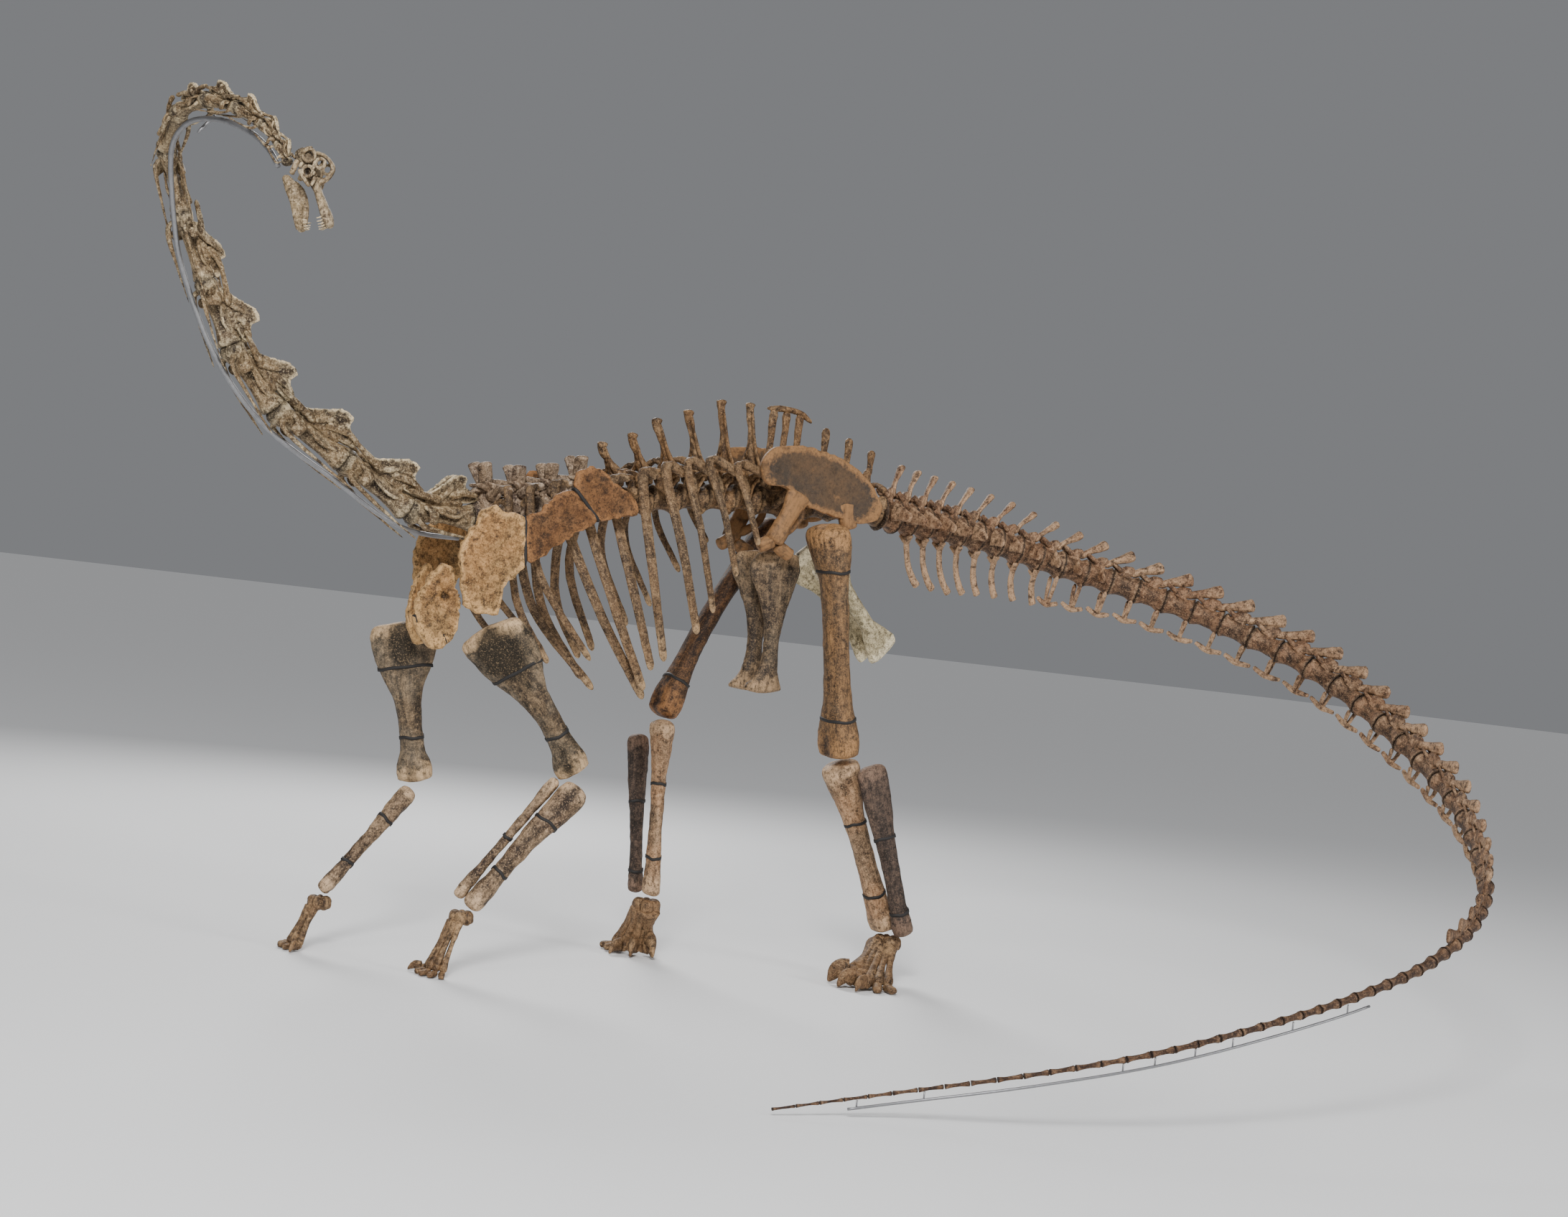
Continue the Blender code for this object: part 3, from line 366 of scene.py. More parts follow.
def ends_frame(line: Array, facing: Any) -> tuple[Array, Array]:
    """Width and depth directions along a line, the width kept along facing.

    Args:
        line: (n, 3) points.
        facing: the width's direction, one or one for each point.

    Returns:
        Unit width and depth directions at each point.
    """
    run = unit(np.gradient(line, axis=0))
    facing = np.broadcast_to(np.asarray(facing, float), line.shape)
    wide = unit(facing - run * np.einsum("ij,ij->i", facing, run)[:, None])
    return wide, np.cross(run, wide)


def dome(t: Array, start: float, finish: float) -> Array:
    """A quarter-circle rise over the first stretch and a fall over the last one."""
    return quarter(t / start) * quarter((1 - t) / finish)


def quarter(t: Array) -> Array:
    """A quarter circle's rise from almost 0 at 0 to 1 at 1 and beyond."""
    return np.sqrt(np.clip(1 - (1 - np.clip(t, 0, 1)) ** 2, 1e-4, 1))


def strut(points: Any, sizes: Any, facing: Any, rows: int = 12, around: int = 8,
          tip: float = 0.12, squareness: float = 2.3, tone: Any = 0.3, shade_mask: Any = 0.0) -> Shell:
    """A rounded bar along a smooth curve.

    Args:
        points: the curve's control points.
        sizes: (half width, half depth) at each control point.
        facing: direction of the width.
        rows: rings along the bar.
        around: points round it.
        tip: the share of its length over which each end rounds off.
        squareness: as in loft.
        tone: end wear.
        shade_mask: painted shade in hollows, gaps and shaded parts.

    Returns:
        The bar's shell.
    """
    points, sizes = np.asarray(points, float), np.asarray(sizes, float)
    line = smooth(points, 6)
    places = np.linspace(0, 1, len(line))
    t = eased(rows)
    centres = np.stack([np.interp(t, places, line[:, k]) for k in range(3)], axis=-1)
    half = reading(np.column_stack([np.linspace(0, 1, len(sizes)), sizes]), t)
    half = half * dome(t, tip, tip)[:, None]
    wide, deep = ends_frame(centres, facing)
    return loft(centres, wide, deep, half[:, 0], half[:, 1], around, squareness, None, tone, shade_mask)


def pair(points: Any, sizes: Any, facing: Any, *shape: float) -> list[Shell]:
    """A rounded bar given for the right side, with its fellow on the left.

    Args:
        points: the curve's control points on the right.
        sizes: (half width, half depth) at each control point.
        facing: direction of the width, the same on both sides.
        *shape: rows, around, tip, squareness and tone, as in strut.

    Returns:
        Both bars' shells.
    """
    return [strut(mirrored(points, side), sizes, facing, *shape) for side in Side]


def slab(stations: Any, rows: int = 12, around: int = 14) -> Shell:
    """An upright plate.

    Args:
        stations: (x, z, half length, half thickness) in a local frame.
        rows: rings along it.
        around: points round it.

    Returns:
        The plate's shell.
    """
    return strut([(x, 0.0, z) for x, z, *_ in stations], [station[2:] for station in stations], AFT,
                 rows, around, 0.07, 2.6)


FACE_STEPS = (0.05, 0.10, 0.16, 0.25, 0.36, 0.48, 0.60, 0.71, 0.81, 0.89, 0.945, 0.975, 0.992, 1.0)
RIM_WAVES = (7, 11, 17, 23)


@dataclass(frozen=True)
class Plate:
    """A flat bone of even thickness with a rounded rim.

    The outline is star-shaped about the middle. On ring s the outline's radius is multiplied by
    s and the face stands at half (1 - s^10)^(1/10) from the mid plane, times 1 - hole
    exp(-(distance/hole_size)^2); the far face mirrors it.
    """

    middle: tuple[float, float]
    outline: Table
    half: float
    around: int = 72
    hole: float = 0.0
    hole_size: float = 0.014
    crisp: float = 0.80
    ragged: float = 0.003
    swell: float = 0.0
    # how much shade is painted over the face inside the rim
    painted_shade: float = 0.0

    def shell(self, lift: Callable[[Array, Array], Array]) -> Shell:
        """The plate's surface.

        Args:
            lift: y of the mid plane for given x and z.

        Returns:
            The shell, its outline lying in x and z.
        """
        angles = turns(self.around)
        reach = self.reach(angles)
        steps = np.array(FACE_STEPS)
        s = np.concatenate([steps, steps[-2::-1]])
        face = np.concatenate([np.ones(len(steps)), -np.ones(len(steps) - 1)])
        height = face * self.half * np.clip(1 - s ** 10, 0, 1) ** 0.1
        x = self.middle[0] + s[:, None] * reach * np.cos(angles)
        z = self.middle[1] + s[:, None] * reach * np.sin(angles)
        near = np.exp(-((s[:, None] * reach) / self.hole_size) ** 2)
        height = height[:, None] * (1 - self.hole * near) * (1 + self.swell * (s[:, None] ** 2 - 0.5))
        y = lift(x, z) + height
        rows = len(s)
        # painted shade: darker in the hole and, by the plate's shade amount, over the face inside the rim
        shell = loft(np.zeros((rows, 3)), AFT, UP, 1.0, 1.0, self.around, 2.0, None,
                     np.clip((s[:, None] - 0.70) / 0.28, 0, 1) * np.ones(self.around),
                     near * self.hole + self.painted_shade * (1 - s[:, None] ** 5))
        shell.points[:-2] = np.stack([x, y, z], axis=-1).reshape(-1, 3)
        shell.points[-2] = shell.points[:self.around].mean(0)
        shell.points[-1] = shell.points[-2 - self.around:-2].mean(0)
        shell.grain = shell.points
        return outwards(shell)

    def reach(self, angles: Array) -> Array:
        """The outline's radius at the angles, its corners a little rounded.

        Args:
            angles: angles round the middle.

        Returns:
            The radius at each.
        """
        corners = np.asarray(self.outline, float) - self.middle
        ring = np.vstack([corners, corners[:1]])
        t = np.linspace(0, 1, 10, endpoint=False)[None, :, None]
        dense = (ring[:-1, None] * (1 - t) + ring[1:, None] * t).reshape(-1, 2)
        for _ in range(max(int(round(8 * (1 - self.crisp))), 1)):
            dense = 0.25 * np.roll(dense, 1, 0) + 0.5 * dense + 0.25 * np.roll(dense, -1, 0)
        turn = np.arctan2(dense[:, 1], dense[:, 0]) % (2 * math.pi)
        order = np.argsort(turn)
        turn, size = turn[order], np.linalg.norm(dense, axis=1)[order]
        wave = sum(np.sin(angles * k + 1.7 * k * k + 9 * self.middle[0]) for k in RIM_WAVES) * 0.5
        return np.interp(angles, turn, size, period=2 * math.pi) + self.ragged * wave


# ---- relief ---------------------------------------------------------------------------------
@dataclass(frozen=True)
class Relief:
    """Seeded waves in space that roughen a surface.

    The height at p is the mean over the waves of sin(k.p + phase), the wave vectors k having
    random directions and lengths about 2 pi over the size, with a second set half the size.
    """

    depth: float
    size: float
    seed: int = SEED

    def height(self, points: Array) -> Array:
        """Heights from about -1 to 1 at the points.

        Args:
            points: (n, 3) points.

        Returns:
            One height for each.
        """
        chance = np.random.default_rng(self.seed)
        total = np.zeros(len(points))
        for octave, weight in ((1.0, 1.0), (2.3, 0.55)):
            waves = unit(chance.normal(size=(9, 3))) * (2 * math.pi * octave / self.size)
            waves *= chance.uniform(0.6, 1.5, size=(9, 1))
            phases = chance.uniform(0, 2 * math.pi, 9)
            total += weight * np.sin(points @ waves.T + phases).mean(1) * 2.0
        return np.clip(total, -1.4, 1.4)

    def apply(self, shell: Shell) -> Shell:
        """Moves each point along its normal by the height, and paints shade into the hollows.

        Args:
            shell: the shell to roughen.

        Returns:
            The same shell.
        """
        normals = point_normals(shell)
        height = self.height(shell.points)
        shell.points = shell.points + normals * (height * self.depth)[:, None]
        # painted shade: the relief's troughs are marked darker
        shell.shade_mask = np.clip(shell.shade_mask + np.clip(-height - 0.35, 0, 1) * 0.5, 0, 1)
        return shell


def point_normals(shell: Shell) -> Array:
    """Unit normals at the points, the mean of the faces round each.

    Args:
        shell: a closed shell.

    Returns:
        One unit normal for each point.
    """
    faces = corners(shell)
    a, b, c = (shell.points[corner] for corner in faces.T)
    total = np.zeros_like(shell.points)
    for corner in faces.T:
        np.add.at(total, corner, np.cross(b - a, c - a))
    return unit(total)


# ---- finishes -------------------------------------------------------------------------------
class Socket:
    """A shader output that can be used in sums and products."""

    def __init__(self, graph: "Graph", socket: Any) -> None:
        """Keeps the socket with its graph."""
        self.graph = graph
        self.socket = socket

    def _join(self, operation: str, first: Any, second: Any) -> "Socket":
        """A Math node on two values."""
        return self.graph.node("ShaderNodeMath", {"operation": operation}, {0: first, 1: second}).out(0)

    def __add__(self, other: Any) -> "Socket":
        """The sum."""
        return self._join("ADD", self, other)

    def __radd__(self, other: Any) -> "Socket":
        """The sum, this one second."""
        return self._join("ADD", other, self)

    def __sub__(self, other: Any) -> "Socket":
        """The difference."""
        return self._join("SUBTRACT", self, other)

    def __rsub__(self, other: Any) -> "Socket":
        """The difference, this one taken away."""
        return self._join("SUBTRACT", other, self)

    def __mul__(self, other: Any) -> "Socket":
        """The product."""
        return self._join("MULTIPLY", self, other)

    def __rmul__(self, other: Any) -> "Socket":
        """The product, this one second."""
        return self._join("MULTIPLY", other, self)

    def ramp(self, low: float, high: float) -> "Socket":
        """0 below low, 1 above high, and a straight line between."""
        return self.graph.node("ShaderNodeMapRange", {"clamp": True},
                               {"Value": self, "From Min": low, "From Max": high}).out(0)


class Node:
    """A node just made, with its outputs ready to be wired."""

    def __init__(self, graph: "Graph", made: Any) -> None:
        """Keeps the node with its graph."""
        self.graph = graph
        self.made = made

    def out(self, key: Any) -> Socket:
        """One of the node's outputs."""
        return Socket(self.graph, self.made.outputs[key])


class Graph:
    """A new material and its node tree."""

    def __init__(self, name: str) -> None:
        """Makes the material.

        Args:
            name: the material's name.
        """
        self.material = bpy.data.materials.new(name)
        self.material.use_nodes = True
        self.tree = self.material.node_tree
        self.shader = self.tree.nodes["Principled BSDF"]

    def node(self, kind: str, settings: dict[str, Any], inputs: dict[Any, Any]) -> Node:
        """Adds a node.

        Args:
            kind: the node's type name.
            settings: attributes to set on it.
            inputs: values or sockets by input name or number.

        Returns:
            The node.
        """
        made = self.tree.nodes.new(kind)
        for name, value in settings.items():
            setattr(made, name, value)
        for key, value in inputs.items():
            self.feed(made.inputs[key], value)
        return Node(self, made)

    def feed(self, target: Any, value: Any) -> None:
        """Wires a socket to an input, or sets it to a constant.

        Args:
            target: the input.
            value: a socket or a constant.
        """
        if isinstance(value, Socket):
            self.tree.links.new(value.socket, target)
        else:
            target.default_value = value

    def mix(self, factor: Any, low: Any, high: Any) -> Socket:
        """A colour between two colours.

        Args:
            factor: 0 for the first colour, 1 for the second.
            low: the first colour or its socket.
            high: the second colour or its socket.

        Returns:
            The mixed colour.
        """
        low, high = (colour if isinstance(colour, Socket) else (*colour, 1.0) for colour in (low, high))
        return self.node("ShaderNodeMix", {"data_type": "RGBA"}, {0: factor, 6: low, 7: high}).out(2)

    def surface(self, **inputs: Any) -> Any:
        """Feeds the shader's inputs, spaces in their names given as underlines.

        Args:
            **inputs: values or sockets by input name.

        Returns:
            The material.
        """
        for name, value in inputs.items():
            self.feed(self.shader.inputs[name.replace("_", " ")], value)
        return self.material

    def noise(self, vector: Socket, scale: float, detail: float = 4.0, rough: float = 0.55) -> Socket:
        """A noise value from about 0 to 1."""
        return self.node("ShaderNodeTexNoise", {},
                         {"Vector": vector, "Scale": scale, "Detail": detail, "Roughness": rough}).out(0)

    def attribute(self, name: str, output: str) -> Socket:
        """A named attribute of the mesh."""
        return self.node("ShaderNodeAttribute", {"attribute_name": name}, {}).out(output)

    def place(self) -> Socket:
        """The position in the object's own frame."""
        return self.node("ShaderNodeTexCoord", {}, {}).out("Object")


Colour = tuple[float, float, float]


@dataclass(frozen=True)
class BoneFinish:
    """Old mineralised bone: patches, streaks along the grain, worn ends, and shade painted into hollows."""

    name: str
    shaft: Colour
    patch: Colour
    ends: Colour
    # colour of the dark marks and streaks, and also of the painted shade
    dirt: Colour
    streak: float = 0.35
    mottle: float = 1.0
    roughness: float = 0.62

    def build(self) -> Any:
        """The material: broad patches, then wear, marks, painted shade and specks laid over one another.

        Returns:
            The material.
        """
        graph = Graph(self.name)
        where = graph.place()
        grain = graph.attribute("grain", "Vector")
        tone = graph.attribute("tone", "Fac")
        shade_mask = graph.attribute("shade_mask", "Fac")
        broad = graph.noise(where, 5.0, 5.0, 0.6)
        mid = graph.noise(grain, 26.0, 6.0, 0.72)
        fine = graph.noise(where, 42.0, 6.0, 0.65)
        speck = graph.noise(where, 150.0, 3.0, 0.7)
        fibre = graph.noise(grain, 95.0, 5.0, 0.6)
        colour = graph.mix(broad.ramp(0.42, 0.60), self.shaft, self.patch)
        worn = (tone + (broad - 0.5) * 1.5 + (fine - 0.5) * 1.4).ramp(0.35, 0.80)
        for strength, over in (
                (worn * 0.9, self.ends),
                (mid.ramp(0.46, 0.70) * 0.46 * self.mottle, self.ends),
                ((0.52 - mid).ramp(0.0, 0.20) * 0.50 * self.mottle, self.dirt),
                (fibre.ramp(0.48, 0.70) * self.streak, self.dirt),
                (fine.ramp(0.50, 0.74) * 0.46 * self.mottle, self.ends),
                # painted shade: hollows, gaps and shaded parts darken towards the dark colour
                ((shade_mask + (0.5 - fine) * 0.6).ramp(0.12, 0.75) * 0.92, self.dirt),
                ((0.49 - fine).ramp(0.0, 0.15) * 0.75 * self.mottle, self.dirt),
                (speck.ramp(0.54, 0.70) * 0.55 * self.mottle, self.ends),
                ((0.46 - speck).ramp(0.0, 0.12) * 0.72 * self.mottle, self.dirt)):
            colour = graph.mix(strength, colour, over)
        height = fibre * 0.5 + fine * 0.8 + broad * 0.3 + speck * 0.25
        bump = graph.node("ShaderNodeBump", {}, {"Strength": 0.75, "Distance": 0.006, "Height": height})
        return graph.surface(Base_Color=colour, Specular_IOR_Level=0.22, Normal=bump.out("Normal"),
                             Roughness=self.roughness + (fine - 0.5) * 0.35)


@dataclass(frozen=True)
class SteelFinish:
    """Dull bar steel."""

    name: str
    colour: Colour
    roughness: float

    def build(self) -> Any:
        """The material, a little uneven in colour and shine.

        Returns:
            The material.
        """
        graph = Graph(self.name)
        fine = graph.noise(graph.place(), 60.0, 4.0)
        darker = tuple(0.6 * value for value in self.colour)
        return graph.surface(Base_Color=graph.mix(fine, self.colour, darker), Metallic=0.9,
                             Roughness=self.roughness + fine * 0.2)


@dataclass(frozen=True)
class PlainFinish:
    """One even colour."""

    name: str
    colour: Colour
    roughness: float

    def build(self) -> Any:
        """The material."""
        return Graph(self.name).surface(Base_Color=(*self.colour, 1.0), Roughness=self.roughness)


FINISHES = (
    BoneFinish("skull_bone", (0.297, 0.213, 0.114), (0.158, 0.103, 0.057), (0.647, 0.520, 0.340),
               (0.019, 0.011, 0.007), streak=0.4),
    BoneFinish("neck_bone", (0.228, 0.145, 0.070), (0.095, 0.062, 0.035), (0.722, 0.579, 0.364),
               (0.017, 0.010, 0.006), streak=0.55),
    BoneFinish("back_bone", (0.190, 0.099, 0.041), (0.080, 0.047, 0.025), (0.460, 0.282, 0.140),
               (0.014, 0.008, 0.005), streak=0.5),
    BoneFinish("fore_back_bone", (0.240, 0.160, 0.096), (0.105, 0.066, 0.046), (0.640, 0.486, 0.340),
               (0.019, 0.011, 0.009), streak=0.5),
    BoneFinish("rib_bone", (0.175, 0.101, 0.050), (0.087, 0.054, 0.030), (0.460, 0.301, 0.160),
               (0.017, 0.010, 0.006), streak=0.6),
    BoneFinish("tail_bone", (0.184, 0.091, 0.046), (0.097, 0.052, 0.030), (0.478, 0.303, 0.176),
               (0.015, 0.008, 0.005), streak=0.5),
    BoneFinish("whip_bone", (0.120, 0.061, 0.030), (0.070, 0.037, 0.022), (0.340, 0.207, 0.119),
               (0.014, 0.007, 0.005), streak=0.4),
    BoneFinish("shoulder_bone", (0.340, 0.170, 0.061), (0.200, 0.115, 0.047), (0.600, 0.359, 0.151),
               (0.024, 0.012, 0.005), streak=0.35),
    BoneFinish("blade_bone", (0.132, 0.058, 0.021), (0.072, 0.038, 0.017), (0.289, 0.136, 0.053),
               (0.014, 0.007, 0.003), streak=0.35),
    BoneFinish("hip_bone", (0.050, 0.038, 0.028), (0.092, 0.056, 0.031), (0.300, 0.155, 0.064),
               (0.020, 0.014, 0.009), streak=0.5, mottle=0.22),
    BoneFinish("pubis_bone", (0.100, 0.076, 0.051), (0.059, 0.043, 0.030), (0.380, 0.249, 0.137),
               (0.013, 0.008, 0.006), streak=0.7),
    BoneFinish("ischium_bone", (0.440, 0.365, 0.215), (0.260, 0.211, 0.120), (0.820, 0.710, 0.482),
               (0.050, 0.036, 0.019), streak=0.35),
    BoneFinish("thigh_bone", (0.170, 0.097, 0.046), (0.080, 0.058, 0.038), (0.420, 0.227, 0.095),
               (0.016, 0.009, 0.006), streak=0.7),
    # a darker copy of the thigh finish that paints shade on the far femur
    BoneFinish("thigh_bone_shaded", (0.077, 0.041, 0.022), (0.045, 0.030, 0.020), (0.306, 0.145, 0.057),
               (0.009, 0.005, 0.004), streak=0.7),
    BoneFinish("shin_bone", (0.365, 0.200, 0.100), (0.215, 0.138, 0.080), (0.620, 0.410, 0.240),
               (0.018, 0.010, 0.006), streak=0.6),
    BoneFinish("calf_bone", (0.062, 0.044, 0.034), (0.038, 0.028, 0.023), (0.220, 0.140, 0.096),
               (0.010, 0.007, 0.005), streak=0.6),
    BoneFinish("arm_bone", (0.135, 0.108, 0.077), (0.050, 0.034, 0.022), (0.620, 0.422, 0.235),
               (0.012, 0.009, 0.005), streak=0.5, mottle=0.65),
    BoneFinish("forearm_bone", (0.270, 0.180, 0.105), (0.075, 0.044, 0.028), (0.600, 0.414, 0.251),
               (0.012, 0.007, 0.005), streak=0.65),
    BoneFinish("foot_bone", (0.190, 0.104, 0.051), (0.090, 0.052, 0.030), (0.456, 0.289, 0.148),
               (0.013, 0.008, 0.004), streak=0.5),
    SteelFinish("rod_steel", (0.34, 0.34, 0.35), 0.38),
    # near-black: the limb bands, the coracoid marks, and strips of painted shade in the shoulder blade's gaps
    PlainFinish("seam_dark_and_gap_shade", (0.012, 0.010, 0.009), 0.7),
    PlainFinish("floor_pale", (0.80, 0.80, 0.80), 0.85),
)


class Workshop:
    """Makes the scene's objects, gives them their finish and fits them to the frame."""

    def __init__(self) -> None:
        """Builds the finishes."""
        self.finishes = {finish.name: finish.build() for finish in FINISHES}
        self.count = 0

    def make(self, name: str, shells: Sequence[Shell], finish: str, relief: Optional[Relief]) -> Any:
        """One mesh object from closed shells.

        Args:
            name: the object's name.
            shells: its shells, about the hip point.
            finish: the finish's name.
            relief: surface relief, or None.

        Returns:
            The object.
        """
        whole = Shell.join(shells)
        if relief is not None:
            whole = relief.apply(whole)
        mesh = bpy.data.meshes.new(name)
        points = whole.points + HIP_POINT
        points[:, 2] = np.maximum(points[:, 2], 0.0)
        mesh.from_pydata(points.tolist(), [], whole.quads.tolist() + whole.tris.tolist())
        mesh.polygons.foreach_set("use_smooth", np.ones(len(mesh.polygons), bool))
        # the painted-shade mask goes to the finish as an attribute, with the end wear and the grain
        for title, kind, key, values in (("tone", "FLOAT", "value", whole.tone),
                                         ("shade_mask", "FLOAT", "value", whole.shade_mask),
                                         ("grain", "FLOAT_VECTOR", "vector", whole.grain.ravel())):
            mesh.attributes.new(title, kind, "POINT").data.foreach_set(key, values.astype(np.float32))
        mesh.materials.append(self.finishes[finish])
        made = bpy.data.objects.new(name, mesh)
        bpy.context.scene.collection.objects.link(made)
        return made

    def piece(self, name: str, shells: Sequence[Shell], finish: str, slot: Slot, *nodes: str,
              relief: Optional[Relief] = None) -> Any:
        """An object from closed shells, fitted to the frame in place of the named nodes."""
        return self.dress(self.make(name, shells, finish, relief), slot, *nodes)

    def dress(self, made: Any, slot: Slot, *nodes: str) -> Any:
        """Fits a piece to the frame in place of the named nodes.

        Args:
            made: the piece's object.
            slot: its material slot in the record; not used.
            *nodes: the nodes it stands for, if any.

        Returns:
            The object.
        """
        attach(made, "root")
        if nodes:
            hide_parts(*nodes)
        self.count += 1
        LOG.info("%s: %d points", made.name, len(made.data.vertices))
        return made


# ---- vertebrae ------------------------------------------------------------------------------
def centrum(length: float, radius: float, waist: float, ball: float, rows: int = 15,
            around: int = 16, pits: float = 0.0, tall: float = 1.0, joint: float = 0.7,
            painted_shade: float = 0.0) -> Shell:
    """A vertebra's body along local x.

    The radius is waist times the end radius in the middle and grows towards both ends with the
    2.4 power of the distance from the middle; the side hollows take the swell in by the pits
    factor times a bell shape; the front end bulges by ball and the rear end is sunk by it.

    Args:
        length: its length.
        radius: its end radius.
        waist: the middle's share of that radius.
        ball: how far the front bulges, as a share of the radius.
        rows: rings.
        around: points round each.
        pits: depth of the side hollows, which are also painted with shade.
        tall: height over width.
        joint: how dark the painted shade in the gaps at both ends is.
        painted_shade: how dark the painted shade round the waist is.

    Returns:
        The shell, its front towards -x.
    """
    t = np.concatenate([[0, 0.004], np.linspace(0.03, 0.97, rows - 4), [0.996, 1.0]])
    u = 2 * t - 1
    size = radius * (waist + (1 - waist) * np.abs(u) ** 2.4)
    size[[0, -1]] *= 0.60
    size[[1, -2]] *= 0.88
    x = u * length / 2
    x[0] -= ball * radius
    x[1] -= 0.3 * ball * radius
    x[-1] -= 0.45 * radius * (0.3 + ball)
    flank = np.exp(-(np.sin(turns(around) - 0.15) / 0.55) ** 2)
    bell = np.exp(-(u / 0.55) ** 4)
    hollow = pits * bell[:, None] * flank[None, :]
    centres = np.stack([x, np.zeros_like(x), np.zeros_like(x)], axis=-1)
    tone = np.clip(np.abs(u) ** 5, 0, 1)[:, None] * np.ones(around)
    # painted shade: dark at both ends where the vertebrae meet, round the waist and in the side hollows
    dark = np.clip((np.abs(u) - 0.90) / 0.06, 0, 1)[:, None] * joint + bell[:, None] * painted_shade
    return loft(centres, ACROSS, UP, size, size * tall, around, 2.0, 1 - hollow, tone,
                hollow * 1.3 + dark)


@dataclass(frozen=True)
class NeckBone:
    """A neck vertebra: long body, pits, two-pronged spine, jointed wings, trailing ribs."""

    length: float
    radius: float
    forked: float

    def shells(self) -> list[Shell]:
        """The vertebra's shells, its head end towards -x.

        Returns:
            Body, arch, two spine plates, their ridges, ledges, joint prongs, rib stems and ribs.
        """
        n, r = self.length, self.radius
        lean = r * (0.10 + 0.34 * self.forked)
        made = [centrum(n * 0.97, r, 0.62, 0.35, 17, 16, 0.42, 0.95)]
        made.append(strut([(-0.30 * n, 0, 0.55 * r), (0.0, 0, 0.90 * r), (0.32 * n, 0, 0.75 * r)],
                          [(0.40 * r, 0.34 * r), (0.34 * r, 0.40 * r), (0.44 * r, 0.36 * r)],
                          ACROSS, 14, 10))
        outline = tuple((across * n, up * r) for across, up in NECK_SPINE)
        # the spine plates are painted with shade over the face inside the rim
        wing = Plate((0.08 * n, 1.45 * r), outline, 0.11 * r, 48, ragged=0.035 * r, painted_shade=0.42)
        for side in Side:
            made.append(wing.shell(lambda x, z, spread=side.value * lean: spread * (
                0.35 + np.clip((z - 0.7 * r) / (1.6 * r), 0.0, 1.3))))
        made += pair([(-0.10 * n, 0.45 * r, 0.9 * r), (0.05 * n, 0.50 * r, 1.5 * r),
                      (0.16 * n, 0.9 * lean, 2.3 * r)],
                     [(0.05 * n, 0.10 * r), (0.04 * n, 0.10 * r), (0.05 * n, 0.08 * r)],
                     (1, 0, 0.12), 10, 8)
        for points, sizes, facing in NECK_BARS:
            width = n if facing == AFT else r
            made += pair(np.array(points) * (n, r, r), np.array(sizes) * (width, r), facing, 12, 8)
        for side in Side:
            made.append(strut(mirrored(NECK_RIB, side) * (n, r, r), np.array(NECK_RIB_SIZES) * r,
                              (0, 1, -side.value), 18, 8, 0.04))
        return made


NECK_BARS = (
    (((0.34, 0.62, 0.15), (0.12, 0.70, -0.10), (-0.20, 0.66, 0.30)),
     ((0.14, 0.10), (0.12, 0.12), (0.10, 0.08)), UP),
    (((-0.05, 0.35, 0.85), (-0.34, 0.75, 1.05), (-0.60, 0.68, 1.30)),
     ((0.30, 0.30), (0.22, 0.22), (0.26, 0.13)), ACROSS),
    (((0.06, 0.25, 1.15), (0.30, 0.55, 1.50), (0.50, 0.62, 1.38)),
     ((0.30, 0.34), (0.20, 0.24), (0.26, 0.15)), ACROSS),
    (((-0.30, 0.55, 0.45), (-0.20, 1.05, 0.05), (-0.22, 1.20, -0.75)),
     ((0.10, 0.14), (0.08, 0.12), (0.07, 0.12)), AFT))
NECK_RIB = ((-0.40, 0.75, -0.40), (-0.30, 1.12, -0.95), (0.15, 1.16, -1.25), (0.72, 1.12, -1.42))
NECK_RIB_SIZES = ((0.22, 0.20), (0.22, 0.14), (0.12, 0.09), (0.04, 0.04))
NECK_SPINE: Table = ((-0.42, 0.95), (-0.22, 1.30), (-0.04, 1.95), (0.10, 2.54), (0.20, 2.66), (0.29, 2.52),
                     (0.31, 1.85), (0.48, 1.52), (0.56, 1.22), (0.46, 0.95), (0.20, 0.75), (-0.20, 0.72))
NECK_ROUTE = ((-1.60, 0.0, 1.865), (-1.88, 0.0, 1.875), (-2.17, 0.0, 2.02), (-2.47, 0.0, 2.185),
              (-2.68, 0.0, 2.40), (-2.83, 0.0, 2.66), (-2.95, -0.03, 2.88), (-3.055, -0.15, 3.09),
              (-3.059, -0.36, 3.195), (-3.005, -0.58, 3.196), (-2.930, -0.76, 3.135),
              (-2.874, -0.872, 3.052), (-2.845, -0.945, 2.968))
NECK_TOP = ((0, 0, 1), (0.35, 0, 0.9), (0.45, 0, 0.9), (0.55, 0, 0.8), (0.8, 0, 0.6),
            (0.9, 0.1, 0.4), (0.6, 0.7, 0.3), (0.1, 0.9, 0.35), (0, 0.5, 0.8), (0, -0.1, 1),
            (0, -0.5, 0.85), (0.1, -0.75, 0.6), (0.2, -0.8, 0.5))


